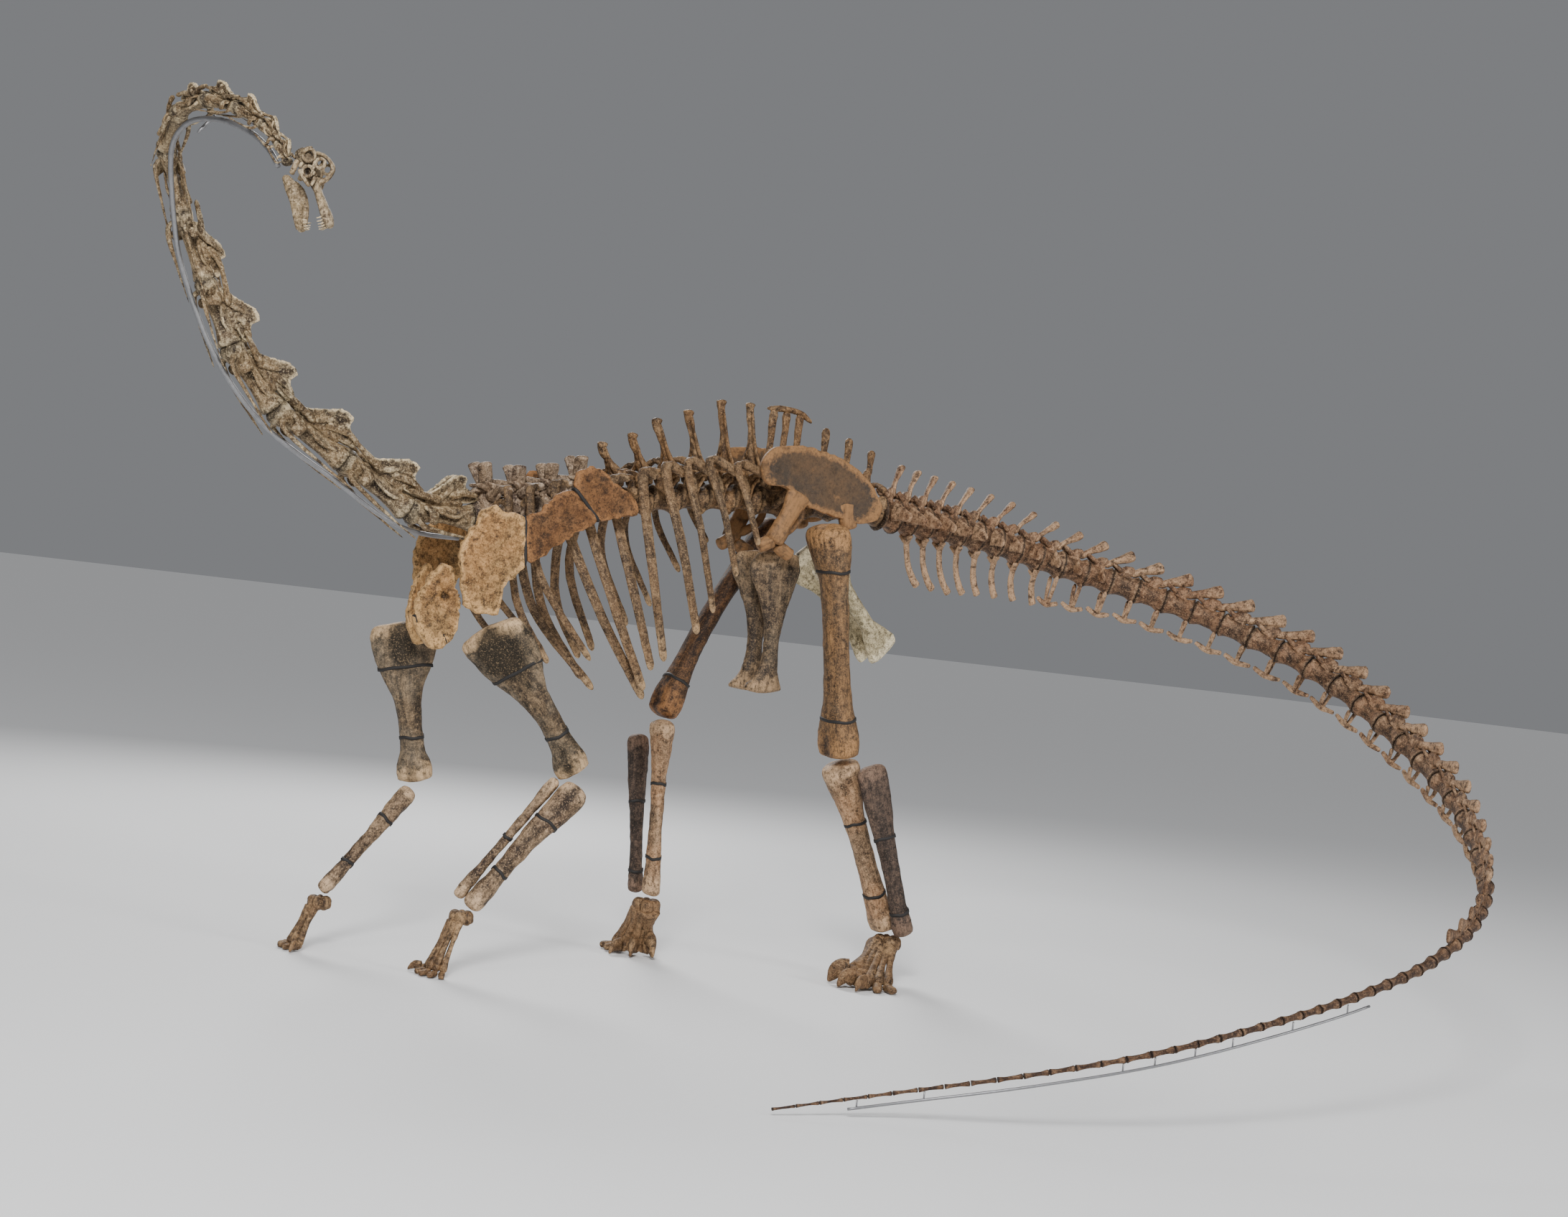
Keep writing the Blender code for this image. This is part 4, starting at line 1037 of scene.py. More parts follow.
@dataclass(frozen=True)
class Neck:
    """The thirteen vertebrae of the neck and the steel rod under them."""

    lengths: tuple[float, ...] = (0.28, 0.335, 0.345, 0.295, 0.265, 0.275, 0.245, 0.22, 0.21, 0.19,
                                  0.15, 0.115, 0.08)
    parts: tuple[int, ...] = (3, 3, 3, 2, 2)
    forked_to: float = 1.6
    rod_radius: float = 0.010
    rod_clearance: float = 0.026

    def route(self) -> Route:
        """The neck's centre line, from the shoulders to the head."""
        return Route(NECK_ROUTE, NECK_TOP, towards_tail=False)

    def radius(self, s: Any) -> Any:
        """The radius of the vertebrae's ends at distance s."""
        return np.interp(s, (0.0, 1.0, 2.0, 2.6, 3.1), (0.066, 0.060, 0.042, 0.030, 0.020))

    def build(self, shop: Workshop) -> None:
        """Makes the neck's pieces.

        Args:
            shop: the maker of the objects.
        """
        route = self.route()
        lengths = np.array(self.lengths) * route.length / sum(self.lengths)
        ends = np.concatenate([[0.0], np.cumsum(lengths)])
        first = 0
        for number, count in enumerate(self.parts, 1):
            shells: list[Shell] = []
            for low, high in zip(ends[first:first + count], ends[first + 1:first + count + 1]):
                middle = 0.5 * (low + high)
                bone = NeckBone(high - low, float(self.radius(middle)), float(middle < self.forked_to))
                place = route.place(middle)
                shells += [shell.at(place) for shell in bone.shells()]
            shop.piece(f"neck_bones_{number}", shells, "neck_bone", Slot.PALE, f"neck_{number}",
                       relief=Relief(0.0016, 0.05))
            first += count
        self.build_rod(shop, route)

    def build_rod(self, shop: Workshop, route: Route) -> None:
        """Makes the rod under the neck.

        Args:
            shop: the maker of the objects.
            route: the neck's centre line.
        """
        stops = np.linspace(0.05, route.length - 0.03, 90)
        line = np.array([route.place(s).at - route.place(s).axes[2]
                         * (float(self.radius(s)) + self.rod_clearance) for s in stops])
        wide, deep = ends_frame(line, (0.3, 1.0, 0.2))
        rod = loft(line, wide, deep, self.rod_radius, self.rod_radius, 12)
        prop = strut([(-3.035, -0.45, 3.100), (-2.978, -0.45, 3.179)], [(0.010, 0.006)] * 2, ACROSS, 8, 8)
        shop.piece("neck_steel_rod", [rod, prop], "rod_steel", Slot.STEEL, "neck_rod")


# ---- trunk ----------------------------------------------------------------------------------
COLUMN = ((-1.60, 1.865), (-1.30, 1.93), (-1.00, 2.00), (-0.60, 2.08), (-0.24, 2.12),
          (0.10, 2.14), (0.42, 2.15))
SPINE_TIPS = ((-1.60, 2.11), (-1.44, 2.12), (-1.29, 2.15), (-1.16, 2.20), (-1.04, 2.27),
              (-0.90, 2.33), (-0.79, 2.41), (-0.64, 2.47), (-0.48, 2.54), (-0.33, 2.55))
RIBS = (((-1.52, 0.17, 1.96), (-1.47, 0.25, 1.55), (-1.27, 0.20, 1.30)),
        ((-1.43, 0.18, 1.98), (-1.40, 0.30, 1.66), (-1.10, 0.25, 1.33)),
        ((-1.32, 0.19, 2.00), (-1.13, 0.34, 1.54), (-0.825, 0.24, 1.19)),
        ((-1.21, 0.20, 2.03), (-1.08, 0.37, 1.57), (-0.86, 0.30, 1.23)),
        ((-1.07, 0.20, 2.06), (-1.00, 0.39, 1.62), (-0.86, 0.35, 1.32)),
        ((-0.93, 0.20, 2.13), (-0.94, 0.40, 1.75), (-0.80, 0.34, 1.36)),
        ((-0.82, 0.19, 2.18), (-0.80, 0.39, 1.84), (-0.65, 0.33, 1.49)),
        ((-0.71, 0.18, 2.22), (-0.70, 0.36, 1.91), (-0.56, 0.29, 1.59)),
        ((-0.60, 0.17, 2.25), (-0.58, 0.32, 2.02), (-0.45, 0.26, 1.76)),
        ((-0.45, 0.16, 2.25), (-0.44, 0.27, 2.09), (-0.34, 0.23, 1.91)))

BACK_BARS = (
    (((-0.01, 0.02, 0.075), (0.005, 0.10, 0.115), (0.018, 0.175, 0.118)),
     ((0.030, 0.024), (0.022, 0.012), (0.026, 0.017)), AFT, 12, 10),
    (((0.0, 0.02, 0.10), (-0.045, 0.036, 0.120), (-0.080, 0.034, 0.122)),
     ((0.018, 0.018), (0.014, 0.013), (0.018, 0.008)), ACROSS, 10, 8),
    (((0.01, 0.015, 0.14), (0.045, 0.030, 0.145), (0.072, 0.032, 0.135)),
     ((0.014, 0.020), (0.012, 0.014), (0.017, 0.009)), ACROSS, 10, 8),
    (((0.0, 0.045, -0.02), (0.0, 0.062, 0.05), (0.004, 0.10, 0.105)),
     ((0.007, 0.012), (0.006, 0.010), (0.006, 0.012)), AFT, 10, 8))


def column_at(x: float) -> Array:
    """The middle of the trunk's vertebrae at x."""
    xs, zs = zip(*COLUMN)
    return np.array([x, 0.0, float(np.interp(x, xs, zs))])


@dataclass(frozen=True)
class Back:
    """The ten vertebrae of the back and their ribs."""

    x_range: tuple[float, float] = (-1.60, -0.24)
    count: int = 10
    forked: int = 4
    radius: float = 0.064

    def centres(self) -> Array:
        """x of each vertebra."""
        ends = np.linspace(*self.x_range, self.count + 1)
        return 0.5 * (ends[:-1] + ends[1:])

    def vertebra(self, number: int, x: float) -> list[Shell]:
        """One vertebra: body, arch, arms, spine with its side ridges.

        The first few have a low spine that parts into two leaves, the others a tall single one.

        Args:
            number: which, counted from the neck.
            x: where its middle stands.

        Returns:
            Its shells.
        """
        length = (self.x_range[1] - self.x_range[0]) / self.count
        base = column_at(x)
        tip_x, tip_z = SPINE_TIPS[number]
        lean, rise = tip_x - x, tip_z - base[2]
        forked = number < self.forked
        foot = 0.0 if forked else 0.036
        made = [centrum(length * 0.95, self.radius, 0.66, 0.25, 13, 16, 0.35, 1.04)]
        made.append(slab(((0, 0.02, 0.045, 0.030), (0, 0.09, 0.034, 0.026), (0.0, 0.13, 0.040, 0.022))))
        if forked:
            made.append(slab(((0.0, 0.06, 0.058, 0.018), (0.3 * lean, 0.50 * rise, 0.032, 0.018),
                              (0.5 * lean, 0.66 * rise, 0.026, 0.016)), 18, 12))
            made.append(strut([(-0.088, 0, 0.40 * rise), (-0.030, 0, 0.48 * rise), (0.034, 0, 0.50 * rise),
                               (0.086, 0, 0.43 * rise)],
                              [(0.034, 0.010), (0.030, 0.016), (0.030, 0.016), (0.036, 0.010)],
                              ACROSS, 20, 12))
            made += pair([(0.3 * lean, 0.008, 0.46 * rise), (0.7 * lean, 0.034, 0.76 * rise),
                          (lean, 0.060, rise - 0.012)],
                         [(0.026, 0.013), (0.032, 0.014), (0.030, 0.013)], AFT, 18, 12, 0.10)
        else:
            made.append(slab(((foot, 0.08, 0.042, 0.015), (foot + 0.10 * lean, 0.135, 0.032, 0.014),
                              (0.5 * (foot + lean), 0.5 * rise + 0.05, 0.015, 0.010),
                              (lean * 0.92, rise - 0.045, 0.017, 0.013),
                              (lean, rise, 0.026, 0.021)), 22, 12))
            made.append(strut([(foot - 0.052, 0, 0.178), (foot - 0.004, 0, 0.142), (foot + 0.048, 0, 0.162)],
                              [(0.020, 0.012), (0.022, 0.014), (0.018, 0.010)], ACROSS, 14, 10))
        for points, sizes, facing, rows, around in (
                *BACK_BARS,
                (((0.012, 0.11, 0.118), (0.5 * foot + 0.4 * lean, 0.030, 0.5 * rise + 0.02),
                  (0.85 * lean, 0.010, rise - 0.02)),
                 ((0.006, 0.014), (0.006, 0.012), (0.006, 0.008)), AFT, 14, 8)):
            made += pair(points, sizes, facing, rows, around)
        place = Place.upright(base)
        return [shell.at(place) for shell in made]

    def rib(self, number: int, x: float, side: Side) -> list[Shell]:
        """One rib: forked top, flat curved shaft, spread lower end.

        Args:
            number: which, counted from the neck.
            x: where its vertebra stands.
            side: the side it hangs on.

        Returns:
            Its shaft and its inner fork.
        """
        base = column_at(x)
        knob, head = (mirrored(base + off, side) for off in ((0.012, 0.150, 0.118), (-0.010, 0.060, 0.030)))
        top, middle, end = (mirrored(point, side) for point in RIBS[number])
        broad = 1.15 if 2 <= number <= 6 else 0.9
        shaft = strut([knob, top, middle, end],
                      [(0.021, 0.016), (0.021 * broad, 0.013), (0.019 * broad, 0.010), (0.016 * broad, 0.009)],
                      (1, 0, 0.25), 44, 12, 0.03, 2.2, np.clip(np.abs(2 * eased(44) - 1) ** 6, 0, 1))
        neck = strut([head, 0.5 * (head + top) + (0, 0, 0.010), top + (0, 0.0, -0.03)],
                     [(0.014, 0.014), (0.012, 0.010), (0.016, 0.009)], AFT, 14, 10)
        return [shaft, neck]

    def build(self, shop: Workshop) -> None:
        """Makes the back's vertebrae and both rows of ribs.

        Args:
            shop: the maker of the objects.
        """
        centres = [(number, float(x)) for number, x in enumerate(self.centres())]
        bones = [self.vertebra(number, x) for number, x in centres]
        nodes = [f"rib_cage_{side.tag}" for side in Side]
        for name, finish, some in (("front_back_bones", "fore_back_bone", bones[:self.forked]),
                                   ("back_bones", "back_bone", bones[self.forked:])):
            shop.piece(name, sum(some, []), finish, Slot.TAN, *nodes, relief=Relief(0.0018, 0.05))
        for side, node in zip(Side, nodes):
            ribs = [shell for number, x in centres for shell in self.rib(number, x, side)]
            shop.piece(f"ribs_{side.tag}", ribs, "rib_bone", Slot.TAN, node, relief=Relief(0.0012, 0.07))


@dataclass(frozen=True)
class Sacrum:
    """The joined vertebrae between the hips, with three posts under one plate."""

    start: float = -0.24
    finish: float = 0.42
    count: int = 5
    overlap: float = 1.02
    spines: Table = ((-0.205, 2.546), (-0.135, 2.546), (-0.065, 2.546), (0.07, 2.50), (0.20, 2.47),
                     (0.33, 2.43))
    plate: tuple[Point, ...] = ((-0.242, 0, 2.538), (-0.15, 0, 2.548), (-0.065, 0, 2.541), (0.0, 0, 2.508))
    arms: tuple[float, ...] = (-0.17, -0.04, 0.09, 0.22, 0.33)

    def build(self, shop: Workshop) -> None:
        """Makes the sacrum.

        Args:
            shop: the maker of the objects.
        """
        ends = np.linspace(self.start, self.finish - 0.008, self.count + 1)
        made: list[Shell] = []
        for low, high in zip(ends[:-1], ends[1:]):
            place = Place.upright(column_at(0.5 * (low + high)))
            made.append(centrum((high - low) * self.overlap, 0.070, 0.80, 0.0, 11, 16, 0.2).at(place))
        for x, top in self.spines:
            z = column_at(x)[2]
            lean = 0.0 if x < 0 else 0.015
            made.append(slab(((x, z + 0.02, 0.032, 0.024), (x, z + 0.15, 0.024, 0.014),
                              (x + lean, 0.5 * (z + top) + 0.06, 0.015, 0.010),
                              (x + lean, top, 0.021, 0.016)), 18, 12))
        made.append(strut(self.plate, [(0.013, 0.012), (0.016, 0.014), (0.014, 0.013), (0.010, 0.010)],
                          ACROSS, 26, 12))
        for x in self.arms:
            z = column_at(x)[2]
            made += pair([(x, 0.02, z - 0.01), (x, 0.10, z + 0.02), (x, 0.178, z + 0.04)],
                         [(0.026, 0.034), (0.016, 0.026), (0.030, 0.038)], AFT, 12, 12)
            made += pair([(x, 0.01, z + 0.10), (x, 0.09, z + 0.12), (x, 0.17, z + 0.09)],
                         [(0.018, 0.022), (0.012, 0.012), (0.020, 0.020)], AFT, 12, 12)
        shop.piece("sacrum_bones", made, "back_bone", Slot.TAN, "sacrum", relief=Relief(0.0018, 0.05))


# ---- tail -----------------------------------------------------------------------------------
TAIL_ROUTE = ((0.42, 0.0, 2.15), (1.02, 0.03, 2.11), (1.51, -0.03, 2.03), (1.92, -0.21, 1.94),
              (2.25, -0.49, 1.82), (2.47, -0.88, 1.65), (2.511, -1.35, 1.41), (2.37, -1.87, 1.15),
              (2.06, -2.33, 0.90), (1.67, -2.64, 0.74), (1.22, -2.84, 0.61), (0.77, -2.93, 0.50),
              (0.30, -2.964, 0.40), (-0.16, -2.93, 0.295), (-0.583, -2.80, 0.194),
              (-0.98, -2.60, 0.091), (-1.403, -2.512, 0.022))


@dataclass(frozen=True)
class TailBone:
    """A tail vertebra, with its wings, spine and chevron where its number has them."""

    number: int
    length: float
    radius: float
    winged: int = 12
    spined: int = 36
    bladed: int = 9
    chevrons: int = 30

    def shells(self) -> list[Shell]:
        """The vertebra's shells, its front towards -x.

        Returns:
            The body and whatever its number gives it.
        """
        n, r, k = self.length, self.radius, self.number
        waist = graded(k, (0, 8, 20, 40, 67), (0.72, 0.70, 0.68, 0.66, 0.62))
        # tail centra: painted shade at the ends where they meet and round the waist
        made = [centrum(n * 0.95, r, waist, 0.18, 17, 18, 0.16, 1.04, 1.0, 0.30)]
        if k < self.spined:
            made += self.spine(n, r, k)
        if k < self.winged:
            reach = graded(k, (0, 11), (0.185, 0.085))
            made += pair([(0, 0.5 * r, 0.20 * r), (0.006, 0.6 * reach, 0.006), (0.018, reach, -0.014)],
                         [(0.012, 0.60 * r), (0.009, 0.42 * r), (0.008, 0.20 * r)],
                         AFT, 12, 10, 0.1, 2.2, 0.55)
        if 0 < k < self.chevrons:
            made += self.blade(r, k) if k < self.bladed else self.skid(n, r, k)
        return made

    def spine(self, n: float, r: float, k: int) -> list[Shell]:
        """Arch, swept spine with a thickened tip, and joint prongs.

        Args:
            n: the vertebra's length.
            r: its end radius.
            k: its number.

        Returns:
            The shells above the body.
        """
        height = graded(k, (0, 6, 12, 24, 32, 36), (0.245, 0.215, 0.156, 0.122, 0.085, 0.06))
        broad = graded(k, (0, 7, 13, 30), (0.62, 0.80, 1.65, 1.45))
        sweep = graded(k, (0, 4, 8, 12, 16, 30), (0.05, 0.09, 0.125, 0.165, 0.200, 0.160))
        thick = max(0.016 * r / 0.07, 0.005)
        made = [slab(((-0.05 * n, 0.60 * r, 0.34 * n, 0.42 * r), (0.0, 1.05 * r, 0.24 * n, 0.26 * r),
                      (0.22 * sweep, 0.36 * height + 0.5 * r, 0.12 * n, thick)), 12, 10)]
        made.append(strut([(0.02, 0, 0.95 * r), (0.45 * sweep, 0, 0.45 * (height + r)),
                           (0.8 * sweep, 0, 0.85 * height), (sweep, 0, height)],
                          [(0.019, thick), (0.0125 * broad, 0.8 * thick), (0.019 * broad, 1.1 * thick),
                           (0.020 * broad, 1.4 * thick)],
                          (1, 0, 0.2), 22, 12, 0.13, 2.2, 0.55))
        return made + pair([(-0.15 * n, 0.22 * r, 0.95 * r), (-0.42 * n, 0.28 * r, 1.18 * r),
                            (-0.60 * n, 0.24 * r, 1.36 * r)],
                           [(0.16 * r, 0.22 * r), (0.12 * r, 0.16 * r), (0.11 * r, 0.13 * r)], ACROSS, 10, 8)

    @staticmethod
    def depth(k: int) -> float:
        """How far below the tail's middle the chevron of a vertebra reaches."""
        return graded(k, (0, 3, 8, 9, 12, 24, 30), (0.300, 0.305, 0.232, 0.205, 0.160, 0.110, 0.070))

    def blade(self, r: float, k: int) -> list[Shell]:
        """A chevron that is a forked, swept blade, as the front of the tail has.

        Args:
            r: the vertebra's end radius.
            k: its number.

        Returns:
            The fork's two prongs and the blade.
        """
        lag, depth = 0.5 * self.length, self.depth(k)
        back = graded(k, (1, 3, 5, 8), (0.115, 0.110, 0.070, 0.046))
        fork = pair([(lag, 0.42 * r, -0.85 * r), (lag + 0.004, 0.20 * r, -1.10 * r),
                     (lag + 0.012, 0.0, -1.32 * r)],
                    [(0.017, 0.012), (0.015, 0.010), (0.014, 0.010)], AFT, 12, 8, 0.1, 2.2, 0.8)
        return fork + [strut([(lag + 0.008, 0, -1.20 * r), (lag + 0.26 * back, 0, -0.62 * depth),
                              (lag + 0.58 * back, 0, -0.84 * depth), (lag + back, 0, -depth)],
                             [(0.015, 0.011), (0.016, 0.009), (0.018, 0.009), (0.020, 0.011)],
                             (1, 0, 0.2), 20, 10, 0.05, 2.2, 0.8)]

    def skid(self, n: float, r: float, k: int) -> list[Shell]:
        """A chevron that is a fork on a fore-and-aft runner, as the middle of the tail has.

        Args:
            n: the vertebra's length.
            r: its end radius.
            k: its number.

        Returns:
            The fork's two prongs and the runner.
        """
        x, depth = 0.8 * (0.5 * n), self.depth(k)
        fork = pair([(x, 0.50 * r, -0.80 * r), (x, 0.30 * r, -0.85 * depth), (x, 0.0, -0.97 * depth)],
                    [(0.012, 0.008), (0.010, 0.007), (0.014, 0.008)], AFT, 12, 8, 0.1, 2.2, 0.7)
        return fork + [strut([(x - 0.44 * n, 0, -0.90 * depth), (x, 0, -1.0 * depth),
                              (x + 0.46 * n, 0, -0.90 * depth)],
                             [(0.008, 0.010), (0.012, 0.014), (0.008, 0.010)], ACROSS, 18, 8, 0.05, 2.2, 0.7)]


@dataclass(frozen=True)
class Tail:
    """The tail's sixty-eight vertebrae and the thin rod under its whip."""

    parts: tuple[int, ...] = (5, 5, 5, 5, 5, 6, 10, 27)
    whip_from: int = 6
    rod_reach: tuple[float, float] = (5.70, 7.78)
    rod_drop: tuple[float, float] = (0.034, 0.026)
    rod_radius: float = 0.005
    rod_samples: int = 70
    post_radius: float = 0.003
    posts: tuple[float, ...] = (5.83, 6.12, 6.40, 6.56, 6.72, 6.84, 7.52, 7.75)

    def radius(self, s: Any) -> Any:
        """The radius of the vertebrae's ends at distance s."""
        return np.interp(s, (0, 0.6, 1.6, 3.0, 4.0, 5.0, 6.0, 8.0),
                         (0.086, 0.079, 0.066, 0.055, 0.042, 0.028, 0.017, 0.006))

    def build(self, shop: Workshop) -> None:
        """Makes the tail's pieces.

        Args:
            shop: the maker of the objects.
        """
        route = Route(TAIL_ROUTE, [UP] * len(TAIL_ROUTE), towards_tail=True)
        count = sum(self.parts)
        lengths = np.interp(np.arange(count), (0, 18, 26, 40, count - 1),
                            (0.088, 0.160, 0.160, 0.095, 0.080))
        lengths *= route.length / lengths.sum()
        ends = np.concatenate([[0.0], np.cumsum(lengths)])
        first = 0
        for part, size in enumerate(self.parts, 1):
            shells: list[Shell] = []
            for k in range(first, first + size):
                middle = 0.5 * (ends[k] + ends[k + 1])
                bone = TailBone(k, float(lengths[k]), float(self.radius(middle)))
                place = route.place(middle)
                shells += [shell.at(place) for shell in bone.shells()]
            whip = part > self.whip_from
            shop.piece(f"tail_bones_{part}", shells, "whip_bone" if whip else "tail_bone",
                       Slot.DARK if whip else Slot.TAN, f"tail_{part}",
                       relief=Relief(0.0004, 0.03) if whip else Relief(0.0014, 0.05))
            first += size
        self.build_rod(shop, route)

    def build_rod(self, shop: Workshop, route: Route) -> None:
        """Makes the rod under the whip, with its posts.

        Args:
            shop: the maker of the objects.
            route: the tail's centre line.
        """
        stops = np.linspace(*self.rod_reach, self.rod_samples)
        line = route.point(stops)
        line[:, 2] -= np.interp(stops, self.rod_reach, self.rod_drop) + self.radius(stops)
        line[:, 2] = np.maximum(line[:, 2], self.rod_radius)
        wide, deep = ends_frame(line, UP)
        made = [loft(line, wide, deep, self.rod_radius, self.rod_radius, 10)]
        for s in self.posts:
            low = np.array([np.interp(s, stops, line[:, k]) for k in range(3)])
            high = route.point(s) - (0, 0, float(self.radius(s)) * 0.9)
            made.append(loft(np.linspace(low, high, 3), AFT, ACROSS, self.post_radius, self.post_radius, 8))
        shop.piece("tail_steel_rod", made, "rod_steel", Slot.STEEL, "tail_rod")


# ---- limbs and girdles ----------------------------------------------------------------------
NO_SHADE: Table = ((0.0, 0.0), (1.0, 0.0))


@dataclass(frozen=True)
class Lump:
    """A swelling or hollow on a long bone: bell-shaped along it and round it.

    The factor on the radius is 1 + amount exp(-((t - at)/reach)^2) exp(-(turn/width)^2), turn
    being the angle from its middle.
    """

    at: float
    angle: float
    amount: float
    reach: float
    width: float

    def factor(self, t: Array, angles: Array) -> Array:
        """The lump's share of the swell on a (rows, around) grid.

        Args:
            t: fractions along the bone.
            angles: angles round it.

        Returns:
            The share at each row and angle.
        """
        turn = np.angle(np.exp(1j * (angles - math.radians(self.angle))))
        return self.amount * (np.exp(-((t - self.at) / self.reach) ** 2)[:, None]
                              * np.exp(-(turn / self.width) ** 2)[None, :])


@dataclass(frozen=True)
class LongBone:
    """A limb bone between two points.

    Its stations are (fraction, half width, half depth, shift along the width); between them the
    sizes run smoothly, the lumps swell or hollow them, and the bow bends the middle by half a sine.
    """

    start: Array
    end: Array
    facing: Array
    stations: Table
    lumps: tuple[Lump, ...] = ()
    bow: Point = (0.0, 0.0, 0.0)
    seams: tuple[float, ...] = ()
    # (fraction, amount) of shade painted along the bone
    shade: Table = NO_SHADE
    rows: int = 64
    around: int = 32
    squareness: float = 2.15

    def rings(self, t: Array) -> tuple[Array, Array, Array, Array, Array, Array]:
        """Centres, directions, half sizes and swell at fractions t.

        Args:
            t: fractions along the bone.

        Returns:
            Centres, width and depth directions, half widths, half depths and swell.
        """
        run = unit(self.end - self.start)
        wide = unit(self.facing - run * self.facing.dot(run))
        deep = np.cross(run, wide)
        values = reading(self.stations, t)
        centres = (self.start + (self.end - self.start) * t[:, None] + wide * values[:, 2:3]
                   + np.asarray(self.bow) * np.sin(math.pi * t)[:, None])
        swell = np.ones((len(t), self.around))
        for lump in self.lumps:
            swell = swell + lump.factor(t, turns(self.around))
        return centres, wide, deep, values[:, 0], values[:, 1], swell

    def shell(self) -> Shell:
        """The bone's surface.

        Returns:
            The closed shell.
        """
        t = eased(self.rows)
        centres, wide, deep, a, b, swell = self.rings(t)
        round_off = dome(t, 0.028, 0.024)
        tone = np.clip(1.15 * np.exp(-(t / 0.10) ** 2) + 1.15 * np.exp(-((1 - t) / 0.11) ** 2), 0, 1)
        # painted shade in the hollowed lumps and along the shade table
        hollow = np.clip((1 - swell) * 3.0, 0, 1) + reading(self.shade, t)
        return loft(centres, wide, deep, a * round_off, b * round_off, self.around, self.squareness, swell,
                    tone[:, None] * np.ones(self.around), hollow)

    def seam(self, at: float, width: float = 0.0066, proud: float = 0.0036) -> Shell:
        """A thin band round the bone: a closed ring that wanders a little along it.

        Args:
            at: the fraction of the bone's length where it lies.
            width: half its width along the bone.
            proud: how far it stands out of the bone.

        Returns:
            The band's shell.
        """
        centres, wide, deep, a, b, swell = self.rings(np.full(3, at))
        run = unit(self.end - self.start)
        angles = turns(self.around)
        c, s = oval(angles, self.squareness)
        offset = wide * (a[0] * c * swell[0])[:, None] + deep * (b[0] * s * swell[0])[:, None]
        wave = run * (0.004 * np.sin(angles * 2 + at * 9) + 0.002 * np.sin(angles * 5 + 1))[:, None]
        return hoop(centres[0] + offset + wave, unit(offset) * proud, run * width)


def hoop(middle: Array, out: Array, along: Array, inner: float = 3.0) -> Shell:
    """A closed ring with a four-cornered section.

    Args:
        middle: (n, 3) points round the ring.
        out: outward half size at each point.
        along: half size along the axis.
        inner: how much further the ring reaches inwards than outwards.

    Returns:
        The ring's shell.
    """
    n = len(middle)
    grid = np.stack([middle + out - along, middle + out + along, middle - out * inner + along,
                     middle - out * inner - along], axis=1)
    i = np.arange(n)[:, None]
    j = np.arange(4)[None, :]
    ni, nj = (i + 1) % n, (j + 1) % 4
    quads = np.stack([i * 4 + j, i * 4 + nj, ni * 4 + nj, ni * 4 + j], axis=-1).reshape(-1, 4)
    points = grid.reshape(-1, 3)
    zeros = np.zeros(len(points))
    return outwards(Shell(points, quads, np.zeros((0, 3), int), zeros, zeros, points * 0))


FEMUR: Table = ((0.0, 0.088, 0.066, -0.042), (0.04, 0.114, 0.090, -0.042), (0.12, 0.106, 0.086, -0.030),
                (0.25, 0.080, 0.058, -0.004), (0.55, 0.074, 0.050, 0), (0.76, 0.080, 0.057, 0),
                (0.92, 0.110, 0.086, 0), (1.0, 0.095, 0.078, 0))
TIBIA: Table = ((0.0, 0.070, 0.065, 0), (0.04, 0.088, 0.082, 0), (0.14, 0.075, 0.075, 0),
                (0.32, 0.050, 0.052, 0), (0.62, 0.044, 0.046, 0), (0.85, 0.060, 0.052, 0),
                (0.96, 0.074, 0.058, 0), (1.0, 0.064, 0.050, 0))
FIBULA: Table = ((0.0, 0.032, 0.056, 0), (0.05, 0.036, 0.074, 0), (0.22, 0.033, 0.070, 0),
                 (0.50, 0.028, 0.048, 0), (0.80, 0.030, 0.042, 0), (0.95, 0.040, 0.050, 0),
                 (1.0, 0.034, 0.044, 0))
HUMERUS: Table = ((0.0, 0.110, 0.036, 0.01), (0.05, 0.142, 0.050, 0.004), (0.17, 0.138, 0.044, 0),
                  (0.33, 0.098, 0.040, -0.008), (0.45, 0.066, 0.042, -0.006),
                  (0.62, 0.050, 0.042, 0), (0.78, 0.052, 0.042, 0), (0.92, 0.076, 0.058, 0),
                  (1.0, 0.070, 0.052, 0))
ULNA: Table = ((0.0, 0.045, 0.045, -0.012), (0.07, 0.062, 0.068, -0.014),
               (0.20, 0.058, 0.058, -0.012), (0.45, 0.044, 0.043, 0), (0.75, 0.036, 0.038, 0),
               (0.94, 0.044, 0.044, 0), (1.0, 0.034, 0.034, 0))
RADIUS: Table = ((0.0, 0.028, 0.028, 0), (0.06, 0.033, 0.034, 0), (0.30, 0.025, 0.025, 0),
                 (0.70, 0.025, 0.025, 0), (0.94, 0.033, 0.034, 0), (1.0, 0.028, 0.028, 0))
CONDYLES = (Lump(0.97, 90, -0.24, 0.09, 0.42), Lump(0.97, 270, -0.24, 0.09, 0.42),
            Lump(0.96, 0, 0.04, 0.05, 0.6), Lump(0.96, 180, 0.04, 0.05, 0.6))
SHIN_LUMPS = (Lump(0.05, 90, 0.10, 0.12, 0.5), Lump(0.12, 30, -0.12, 0.10, 0.4),
              Lump(0.12, 150, -0.12, 0.10, 0.4), Lump(0.95, 90, -0.14, 0.07, 0.5))
ULNA_LUMPS = (Lump(0.10, 90, -0.20, 0.12, 0.5), Lump(0.10, 270, -0.30, 0.14, 0.5),
              Lump(0.45, 270, -0.12, 0.25, 0.5), Lump(0.96, 90, -0.12, 0.06, 0.5))
